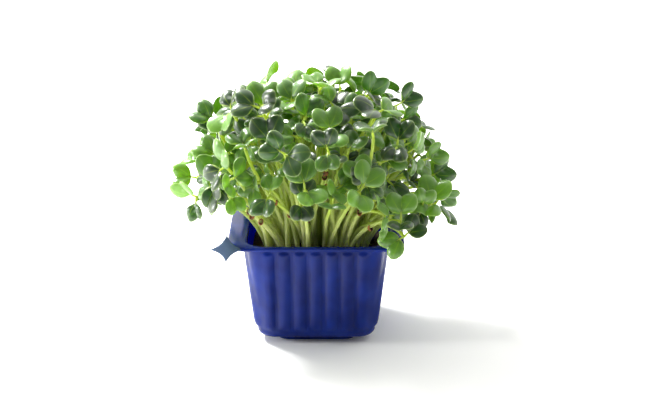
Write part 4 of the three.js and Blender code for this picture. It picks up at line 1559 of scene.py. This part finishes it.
    def grow(self) -> None:
        """Grow the model's own sprouts, in the model's order."""
        form = self.shape
        draw = Draws(form.seed)
        places = self.places()
        free = np.full(len(places), form.per_tuft)
        test = CloseTest(form.leaf_to_leaf, form.leaf_to_stem, form.stem_to_stem, form.tuft_mates)
        for wish in FRONT_LEAVES:
            for attempt in range(FRONT_TRIES):
                one = self.front_sprout(wish, attempt * FRONT_STEP, draw, free)
                if self.has_room(one, self.sprouts, test):
                    self.sprouts.append(one)
                    free[one.tuft] -= 1
                    break
        reach = np.abs(places).max(axis=1)
        for tuft in sorted(range(len(places)), key=lambda number: (-reach[number], number)):
            for attempt in range(form.tries):
                if free[tuft] <= 0:
                    break
                one = self.dome_sprout(tuft, places[tuft], attempt / form.tries, draw)
                if self.has_room(one, self.sprouts, test):
                    self.sprouts.append(one)
                    free[tuft] -= 1

    def inside_crown(self, one: Sprout) -> bool:
        """Say whether a further sprout's leaves stay within the outline of the model's sprouts."""
        middle = np.array([0.0, 0.0, self.shape.base])
        drawn_in = middle + (one.leaf_points - middle) * self.keep_in
        return all(self.inside_dome(point) for point in drawn_in)

    def fill_front(self, tries: int, seed: int) -> None:
        """Grow further sprouts low at the front, where the photo's leaves hang over the stems.

        Args:
            tries: How many are tried.
            seed: The seed of their draws.
        """
        draw = Draws(seed)
        test = self.crowded
        free = np.ones(len(self.places()))
        for _ in range(tries):
            wish = FrontLeaf(
                across=-66 + 146 * draw(),
                up=72 + 62 * draw(),
                turn=360 * draw(),
                nod=50 * (draw() - 0.5),
                roll=60 * (draw() - 0.5),
                open=60 + 30 * draw(),
                width=14 + 5 * draw(),
            )
            one = self.front_sprout(wish, 8 * draw(), draw, free)
            one.tuft = -1
            if self.inside_crown(one) and self.has_room(one, self.sprouts + self.extra, test):
                self.extra.append(one)

    def fill(self, wanted: int, seed: int) -> None:
        """Grow further, smaller sprouts among the others, by the same rule with less room.

        Args:
            wanted: How many to place.
            seed: The seed of their draws.
        """
        draw = Draws(seed)
        test = self.crowded
        half = self.shape.half_pad
        for attempt in range(wanted * self.tries_each):
            if len(self.extra) >= wanted:
                break
            place = settled(np.array([(2 * draw() - 1) * half, (2 * draw() - 1) * half]))
            one = self.dome_sprout(-1 - attempt, place, 0.8 * draw(), draw)
            if self.inside_crown(one) and self.has_room(one, self.sprouts + self.extra, test):
                self.extra.append(one)

    def tufts(self) -> list[list[Sprout]]:
        """Give the sprouts of each tuft that has any, in the order of the model's nodes."""
        groups = [[one for one in self.sprouts if one.tuft == tuft] for tuft in range(len(self.places()))]
        return [group for group in groups if group]


@dataclass
class SproutSkin:
    """Turns sprouts into fine skins: round stems and petioles, and thin blades with waved rims."""

    stem_sides: int = 8
    stem_rows: int = 12
    stem_radius: float = 1.4
    stem_top_radius: float = 0.95
    petiole_sides: int = 6
    leaf_thickness: float = 0.42
    rings: tuple[float, ...] = (0.3, 0.56, 0.8, 0.95, 1.0)
    wave: float = 0.4
    pillow: float = 1.75

    def outline(self) -> Array:
        """Give the fine outline of a cotyledon from its base round both lobes.

        Each half is three cubic Bezier curves: from the base out to the widest point, round the
        lobe, and in to the notch.

        Returns:
            Rows of the share along the midrib and across half the width.
        """
        curves = (
            (np.array([(0.0, 0.05), (-0.03, 0.45), (0.16, 0.99), (0.56, 1.0)]), 5),
            (np.array([(0.56, 1.0), (0.86, 1.01), (1.05, 0.8), (1.0, 0.47)]), 4),
            (np.array([(1.0, 0.47), (0.97, 0.25), (0.87, 0.12), (0.8, 0.0)]), 3),
        )
        half = np.concatenate([bezier(points, np.arange(steps) / steps) for points, steps in curves])
        far = half[1:][::-1] * (1, -1)
        return np.concatenate([half, [LEAF_NOTCH], far, [(-0.01, 0.0)]])

    def add_blade(self, made: Skin, leaf: Cotyledon, draw: Draws) -> None:
        """Add a blade: rings from its middle to its outline, on both faces.

        Each lobe is arched between the midrib and the rim, the rim droops with the fourth power of
        the ring's share, and it waves a few times round.

        Args:
            made: The skin that it joins.
            leaf: The cotyledon.
            draw: The draws for its wave and tone.
        """
        outline = self.outline()
        count = len(outline)
        shares = np.array(self.rings)[:, None]
        along = LEAF_MIDDLE[0] + (outline[None, :, 0] - LEAF_MIDDLE[0]) * shares
        across = outline[None, :, 1] * shares
        angle = np.arctan2(across, along - LEAF_MIDDLE[0])
        lumps = 3 + int(3 * draw())
        phase = 2 * math.pi * draw()
        wave = self.wave * (0.4 + draw()) * shares**3 * np.sin(angle * lumps + phase)
        dish = -(0.4 + 1.1 * draw()) * shares**4
        lobe = np.abs(across)
        pillow = self.pillow * (0.5 + draw()) * 4 * lobe * np.maximum(0.0, 1 - lobe) * (1 - 0.5 * shares**6)
        middle = leaf.surface(along, across) + (wave + dish + pillow)[..., None] * leaf.normal
        hub = leaf.surface(np.array([LEAF_MIDDLE[0]]), np.array([0.0]))
        half = self.leaf_thickness / 2 * np.array([1.0, 1.0, 1.0, 0.8, 0.35])[:, None, None] * leaf.normal
        upper = middle + half
        lower = (middle - half)[::-1]
        points = np.concatenate(
            [upper.reshape(-1, 3), lower.reshape(-1, 3), hub + leaf.normal * 0.2, hub - leaf.normal * 0.2]
        )
        rows = 2 * len(self.rings)
        flat = np.stack([along, across], axis=-1)
        places = np.concatenate(
            [flat.reshape(-1, 2), flat[::-1].reshape(-1, 2), [LEAF_MIDDLE], [LEAF_MIDDLE]]
        )
        # Share of painted rim glow: light through the thin rim, strongest at the outline.
        rim = np.broadcast_to(np.array([0.0, 0.0, 0.0, 0.08, 0.65])[:, None], along.shape)
        tone = draw()
        top = np.stack([np.full(rim.size, tone), np.zeros(rim.size), rim.ravel()], axis=1)
        bottom = np.stack([np.full(rim.size, tone), np.ones(rim.size), rim[::-1].ravel()], axis=1)
        looks = np.concatenate([top, bottom, [(tone, 0.0, 0.0)], [(tone, 1.0, 0.0)]])
        made.add(points, closed_faces(rows, count), places, looks, Finish.FIRST)

    def add_tube(
        self, made: Skin, centres: Array, radii: Array, reference: Array, sides: int, looks: Array
    ) -> None:
        """Add a round bar along a path, closed with a point at both ends.

        Each ring lies square to the path: its first direction is the reference less its share along
        the path, and its second is square to both.

        Args:
            made: The skin that it joins.
            centres: The path's points.
            radii: The radius at each.
            reference: A direction that the path never takes.
            sides: Points in a ring.
            looks: Three values for each of the path's points.
        """
        along = unit(np.gradient(centres, axis=0))
        wide = unit(reference - (along @ reference)[:, None] * along)
        deep = np.cross(along, wide)
        angle = np.linspace(0, 2 * math.pi, sides, endpoint=False)
        ring = np.cos(angle)[None, :, None] * wide[:, None] + np.sin(angle)[None, :, None] * deep[:, None]
        points = (centres[:, None] + radii[:, None, None] * ring).reshape(-1, 3)
        rows = len(centres)
        tips = np.array([centres[0] - along[0] * radii[0] * 0.5, centres[-1] + along[-1] * radii[-1] * 0.5])
        spread = np.repeat(looks, sides, axis=0)
        values = np.concatenate([spread, looks[:1], looks[-1:]])
        places = np.stack([values[:, 1], np.append(np.tile(angle, rows), [0.0, 0.0])], axis=1)
        faces = closed_faces(rows, sides)
        made.add(np.concatenate([points, tips]), faces, places, values, Finish.SECOND)

    def add_sprout(self, made: Skin, one: Sprout, draw: Draws) -> None:
        """Add a whole sprout: its stem, both petioles, each with its midrib, and both blades.

        Args:
            made: The skin that it joins.
            one: The sprout.
            draw: The draws for tones, waves and the stem's sway.
        """
        shares = np.linspace(0, 1, self.stem_rows)
        centres = one.stem(shares)
        lean = one.controls[3] - one.controls[0]
        reference = unit(np.array([-lean[1], lean[0], 0.0]))
        sway = 0.35 * np.sin(shares * math.pi * (1 + 2 * draw())) * np.sin(shares * math.pi)
        centres = centres + sway[:, None] * reference
        radii = self.stem_radius + (self.stem_top_radius - self.stem_radius) * shares
        tone = draw()
        looks = np.stack([np.full_like(shares, tone), shares, np.zeros_like(shares)], axis=1)
        self.add_tube(made, centres, radii, reference, self.stem_sides, looks)
        for leaf in one.leaves:
            self.add_petiole(made, one, leaf, tone)
            self.add_blade(made, leaf, draw)

    def add_petiole(self, made: Skin, one: Sprout, leaf: Cotyledon, tone: float) -> None:
        """Add a petiole that runs on under the blade as a fading midrib.

        Args:
            made: The skin that it joins.
            one: Its sprout.
            leaf: Its cotyledon.
            tone: The sprout's own tone.
        """
        run = leaf.surface(np.array([0.12, 0.3, 0.5]), np.zeros(3)) - leaf.normal * 0.12
        entry = leaf.base - leaf.normal * 0.1
        halfway = (one.head + entry) / 2 + one.axis * 0.25
        centres = np.concatenate([[one.head - one.axis * 0.6], [one.head], [halfway], [entry], run])
        radii = np.array([0.7, 0.78, 0.68, 0.58, 0.42, 0.28, 0.12])
        height = np.linspace(0.9, 1.0, len(radii))
        looks = np.stack([np.full_like(height, tone), height, np.zeros_like(height)], axis=1)
        self.add_tube(made, centres, radii, leaf.side, self.petiole_sides, looks)


@dataclass
class Foliage:
    """Dresses every tuft of the model, and the further sprouts among them."""

    crown: Crown
    skin: SproutSkin = field(default_factory=SproutSkin)
    groups: int = 8
    seed: int = 977

    def dress(self, leaf: bpy.types.Material, stem: bpy.types.Material) -> list[bpy.types.Object]:
        """Make a piece for each tuft and for each group of further sprouts.

        Args:
            leaf: The blades' material.
            stem: The stems' material.

        Returns:
            The pieces.
        """
        draw = Draws(self.seed)
        pieces = []
        for number, group in enumerate(self.crown.tufts(), 1):
            piece = self.piece(f"sprouts_{number:02d}", group, draw, (leaf, stem))
            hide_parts(f"tuft_{number:02d}")
            pieces.append(piece)
        for number in range(self.groups):
            group = self.crown.extra[number :: self.groups]
            if group:
                pieces.append(self.piece(f"inner_sprouts_{number + 1}", group, draw, (leaf, stem)))
        return pieces

    def piece(
        self, name: str, group: list[Sprout], draw: Draws, materials: Sequence[bpy.types.Material]
    ) -> bpy.types.Object:
        """Make one piece of several sprouts.

        Args:
            name: The piece's name.
            group: The sprouts.
            draw: The draws.
            materials: The leaf's and the stem's.

        Returns:
            The piece.
        """
        made = Skin()
        for one in group:
            self.skin.add_sprout(made, one, draw)
        piece = made.piece(name, materials)
        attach(piece, "root")
        return piece


@dataclass
class GrowingPad:
    """Moist peat that fills the tray to below its rim, with a crumbly top and coir fibres on it."""

    tray: Tray
    top: float = 49.6
    gap: float = 0.35
    rings: int = 34
    relief: float = 0.8
    fibres: int = 160
    seed: int = 4411

    def relief_at(self, x: Array, y: Array) -> Array:
        """Give the height of the crumbs: a sum of crossed waves of four sizes, near -1 to 1.

        Args:
            x: Places along x.
            y: Places along y.

        Returns:
            A height for each place.
        """
        rough = np.zeros_like(x)
        draw = Draws(self.seed)
        for size in (17.0, 8.0, 3.7, 1.9):
            angle = 2 * math.pi * draw()
            across = x * math.cos(angle) + y * math.sin(angle)
            along = y * math.cos(angle) - x * math.sin(angle)
            phase = 2 * math.pi * draw()
            rough += 0.35 * np.sin(2 * math.pi * across / size + phase) * np.cos(2 * math.pi * along / size)
        return rough

    def skin(self) -> Skin:
        """Make the pad: rings shrinking to the middle of its rough top, its sides and its base.

        Returns:
            The closed skin of the pad.
        """
        inset = self.tray.shape.wall + self.gap
        form = self.tray.shape
        half = form.half_width(self.top) - inset
        corner = form.corner - inset
        shares = np.linspace(0.02, 1, self.rings)
        level = np.full_like(shares, self.top)
        top = np.stack([half * shares, half * shares, corner * shares, level], axis=1)
        low = form.half_width(form.shoulder) - inset
        base = form.floor + inset + 0.2
        side = np.array([[low, low, corner, form.shoulder + 1], [low - 3, low - 3, corner - 3, base]])
        foot_wide, foot_deep = form.foot_half_width - inset, form.foot_half_depth - inset
        foot = np.array(
            [
                [foot_wide, foot_deep, form.foot_corner - inset, form.floor + inset],
                [foot_wide, foot_deep, form.foot_corner - inset, inset + 0.1],
                [foot_wide * 0.05, foot_deep * 0.05, form.foot_corner * 0.05, inset + 0.1],
            ]
        )
        points = self.tray.ring_points(np.concatenate([top, side, foot]))[0]
        above = points[: self.rings]
        fade = np.clip((1 - shares) * 12, 0, 1)[:, None]
        crumbs = self.relief_at(above[..., 0], above[..., 1]) - 0.6
        above[..., 2] += self.relief * crumbs * (0.3 + 0.7 * fade)
        rows, columns = points.shape[:2]
        flat = points.reshape(-1, 3)
        poles = np.array([points[0].mean(axis=0), points[-1].mean(axis=0)])
        everything = np.concatenate([flat, poles])
        made = Skin()
        faces = closed_faces(rows, columns, flipped=True)
        made.add(everything, faces, everything[:, :2], np.zeros_like(everything))
        return made

    def fibre_skin(self) -> Skin:
        """Make coir fibres: short bent hairs that lie on the crumbs.

        Returns:
            The skin of all fibres.
        """
        draw = Draws(self.seed + 1)
        made = Skin()
        tubes = SproutSkin()
        half = self.tray.shape.half_width(self.top) - 4
        sweep = np.linspace(-1, 1, 5)
        for _ in range(self.fibres):
            centre = np.array([(2 * draw() - 1) * half, (2 * draw() - 1) * half])
            angle = 2 * math.pi * draw()
            ahead = np.array([math.cos(angle), math.sin(angle)])
            aside = np.array([-ahead[1], ahead[0]])
            length = 2.5 + 3.5 * draw()
            curve = (2 * draw() - 1) * 1.6
            flat = centre + np.outer(sweep * length, ahead) + np.outer(sweep**2 * curve, aside)
            flat = np.clip(flat, -half, half)
            height = self.top + self.relief * (self.relief_at(flat[:, 0], flat[:, 1]) - 0.6) + 0.25
            centres = np.column_stack([flat, height])
            looks = np.zeros((len(sweep), 3))
            radii = np.array([0.08, 0.14, 0.16, 0.14, 0.08])
            tubes.add_tube(made, centres, radii, np.array([0.0, 0.0, 1.0]), 3, looks)
        return made

    def dress(self, peat: bpy.types.Material) -> list[bpy.types.Object]:
        """Make the pad and its fibres.

        Args:
            peat: The material of both.

        Returns:
            The two pieces.
        """
        pad = self.skin().piece("peat_pad", [peat])
        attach(pad, "root")
        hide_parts("growing_pad")
        fibres = self.fibre_skin().piece("coir_fibres", [peat, peat])
        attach(fibres, "root")
        return [pad, fibres]


@dataclass
class SeedCoats:
    """Empty seed coats that still cling to stems.

    spots are places in the front view, in its millimetres, where one hangs on the nearest stem.
    """

    crown: Crown
    clinging: int = 22
    spots: Outline = ((-40, 76), (-43.5, 58), (-17, 63.5), (3, 97), (10, 101), (27, 70))
    length: float = 4.2
    width: float = 3.2
    spot_front: float = -42.0
    rows: int = 6
    columns: int = 10
    seed: int = 613

    def shell(self, centre: Array, axis: Array, opening: Array, made: Skin) -> None:
        """Add one cracked shell: most of an ellipsoid with a wall, open on one side.

        The outer skin is an ellipsoid swept from its closed pole to 0.7 of the way to the other,
        and the inner skin is the same at 0.82 of its size, so both meet at the rim.

        Args:
            centre: Its middle.
            axis: Its long direction.
            opening: The direction that it opens to.
            made: The skin that it joins.
        """
        polar = np.linspace(0.12, 0.7, self.rows) * math.pi
        around = np.linspace(0, 2 * math.pi, self.columns, endpoint=False)
        down = unit(opening)
        wide = unit(axis - (axis @ down) * down)
        deep = np.cross(down, wide)
        layers = []
        for scale in (1.0, 0.82):
            ring = np.sin(polar)[:, None] * scale
            x = ring * np.cos(around) * self.length / 2
            y = ring * np.sin(around) * self.width / 2
            z = np.broadcast_to(-np.cos(polar)[:, None] * scale * self.width / 2, x.shape)
            layers.append(centre + x[..., None] * wide + y[..., None] * deep + z[..., None] * down)
        grid = np.concatenate([layers[0], layers[1][::-1]])
        rows, columns = grid.shape[:2]
        points = grid.reshape(-1, 3)
        poles = np.array([centre - down * self.width / 2, centre - down * self.width * 0.41])
        everything = np.concatenate([points, poles])
        faces = closed_faces(rows, columns)
        made.add(everything, faces, everything[:, :2], np.zeros_like(everything))

    def dress(self, material: bpy.types.Material) -> bpy.types.Object:
        """Make the piece: shells on chosen stems, part of the way up, and at the spots in front.

        Args:
            material: The seed coat's.

        Returns:
            The piece of all shells.
        """
        draw = Draws(self.seed)
        made = Skin()
        ones = self.crown.sprouts
        for _ in range(self.clinging):
            one = ones[int(draw() * len(ones))]
            share = 0.25 + 0.65 * draw()
            place = one.stem(np.array([share]))[0]
            outward = unit(np.array([place[0], place[1], 4 * draw() - 2]))
            centre = place + outward * (self.width / 2 + 0.3)
            self.shell(centre, np.array([0.2, draw() - 0.5, 1.0]), outward + (0, 0, 0.3), made)
        stems = np.concatenate([one.stem_points for one in ones])
        to_view = unit(np.array([0.0, -1.0, 0.3]))
        for across, up in self.spots:
            target = self.crown.view_point(across, up, self.spot_front)
            held = stems[np.argmin(((stems - target) ** 2).sum(axis=1))]
            axis = np.array([draw() - 0.5, 0.3, 1.0])
            self.shell(held + to_view * (self.width / 2 + 0.6), axis, to_view * (draw() - 0.4), made)
        piece = made.piece("seed_coats", [material])
        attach(piece, "root")
        return piece


@dataclass
class Studio:
    """White paper, soft daylight from the upper left behind, and the camera of the front view.

    The sky is bright behind the object and dim before it, as in a room with one wide window.
    """

    view_angle: float = math.radians(18)
    distance: float = 1.0
    lens: float = 91.2
    target: tuple[float, float, float] = (0.0100, -0.043, 0.0936)
    sky: float = 1.9
    room: float = 0.33
    paper: float = 6.0

    def build(self, paper: bpy.types.Material) -> None:
        """Make the floor, the sky, the lights and the camera.

        Args:
            paper: The floor's material.
        """
        half = self.paper
        mesh = bpy.data.meshes.new("studio_floor")
        corners = [(-half, -half, 0), (half, -half, 0), (half, half, 0), (-half, half, 0)]
        mesh.from_pydata(corners, [], [(0, 1, 2, 3)])
        mesh.materials.append(paper)
        floor = bpy.data.objects.new("studio_floor", mesh)
        bpy.context.scene.collection.objects.link(floor)
        world = bpy.data.worlds.new("white_sky")
        bpy.context.scene.world = world
        world.use_nodes = True
        tree = world.node_tree
        tree.nodes.clear()
        direction = node(tree, "SeparateXYZ", {0: node(tree, "TexCoord").outputs["Generated"]})
        fall = {1: -0.5, 2: 0.6, 3: self.room, 4: self.sky}
        window = node(tree, "MapRange", {"Value": direction.outputs[1], **fall})
        white = (1.0, 1.0, 1.0, 1.0)
        background = node(tree, "Background", {"Color": white, "Strength": window.outputs[0]})
        node(tree, "OutputWorld", {"Surface": background.outputs[0]})
        self.light("key_behind_left", (-0.7, 0.65, 1.15), 0.42, 62.0)
        self.light("window_left", (-1.1, -0.12, 0.3), 0.26, 10.0)
        bpy.context.scene.view_settings.view_transform = "Standard"
        self.camera()

    def light(self, name: str, place: tuple[float, float, float], size: float, power: float) -> None:
        """Add a square soft light that looks at the object.

        Args:
            name: Its name.
            place: Where it is, in metres.
            size: Its side, in metres.
            power: Its power, in watts.
        """
        data = bpy.data.lights.new(name, "AREA")
        data.energy = power
        data.size = size
        made = bpy.data.objects.new(name, data)
        made.location = place
        made.rotation_euler = (Vector((0, 0, 0.07)) - Vector(place)).to_track_quat("-Z", "Y").to_euler()
        bpy.context.scene.collection.objects.link(made)

    def camera(self) -> None:
        """Set the camera at the front view's angle and distance."""
        data = bpy.data.cameras.new("front_view")
        data.lens = self.lens
        data.sensor_width = 36.0
        made = bpy.data.objects.new("front_view", data)
        back = Vector((0, -math.cos(self.view_angle), math.sin(self.view_angle))) * self.distance
        made.location = Vector(self.target) + back
        made.rotation_euler = (-back).to_track_quat("-Z", "Y").to_euler()
        bpy.context.scene.collection.objects.link(made)
        bpy.context.scene.camera = made


def report(pieces: Sequence[bpy.types.Object]) -> None:
    """Log each piece's name and number of faces."""
    for piece in pieces:
        log.info("%s: %d faces", piece.name, len(piece.data.polygons))


def main() -> None:
    """Build the tray, the pad, the sprouts and the studio, in that order."""
    tray = Tray()
    report([tray.dress(TrayPlastic().build())])
    stem = StemTissue().build()
    report(GrowingPad(tray).dress(Peat().build()))
    crown = Crown()
    crown.grow()
    log.info("sprouts of the model: %d in %d tufts", len(crown.sprouts), len(crown.tufts()))
    crown.fill_front(tries=1500, seed=88)
    log.info("further sprouts at the front: %d", len(crown.extra))
    crown.fill(wanted=360, seed=5150)
    log.info("further sprouts: %d", len(crown.extra))
    report(Foliage(crown).dress(LeafTissue().build(), stem))
    report([SeedCoats(crown).dress(SeedCoat().build())])
    Studio().build(Backdrop().build())


if __name__ == "__main__":
    logging.basicConfig(level=logging.INFO, format="%(message)s")
    main()
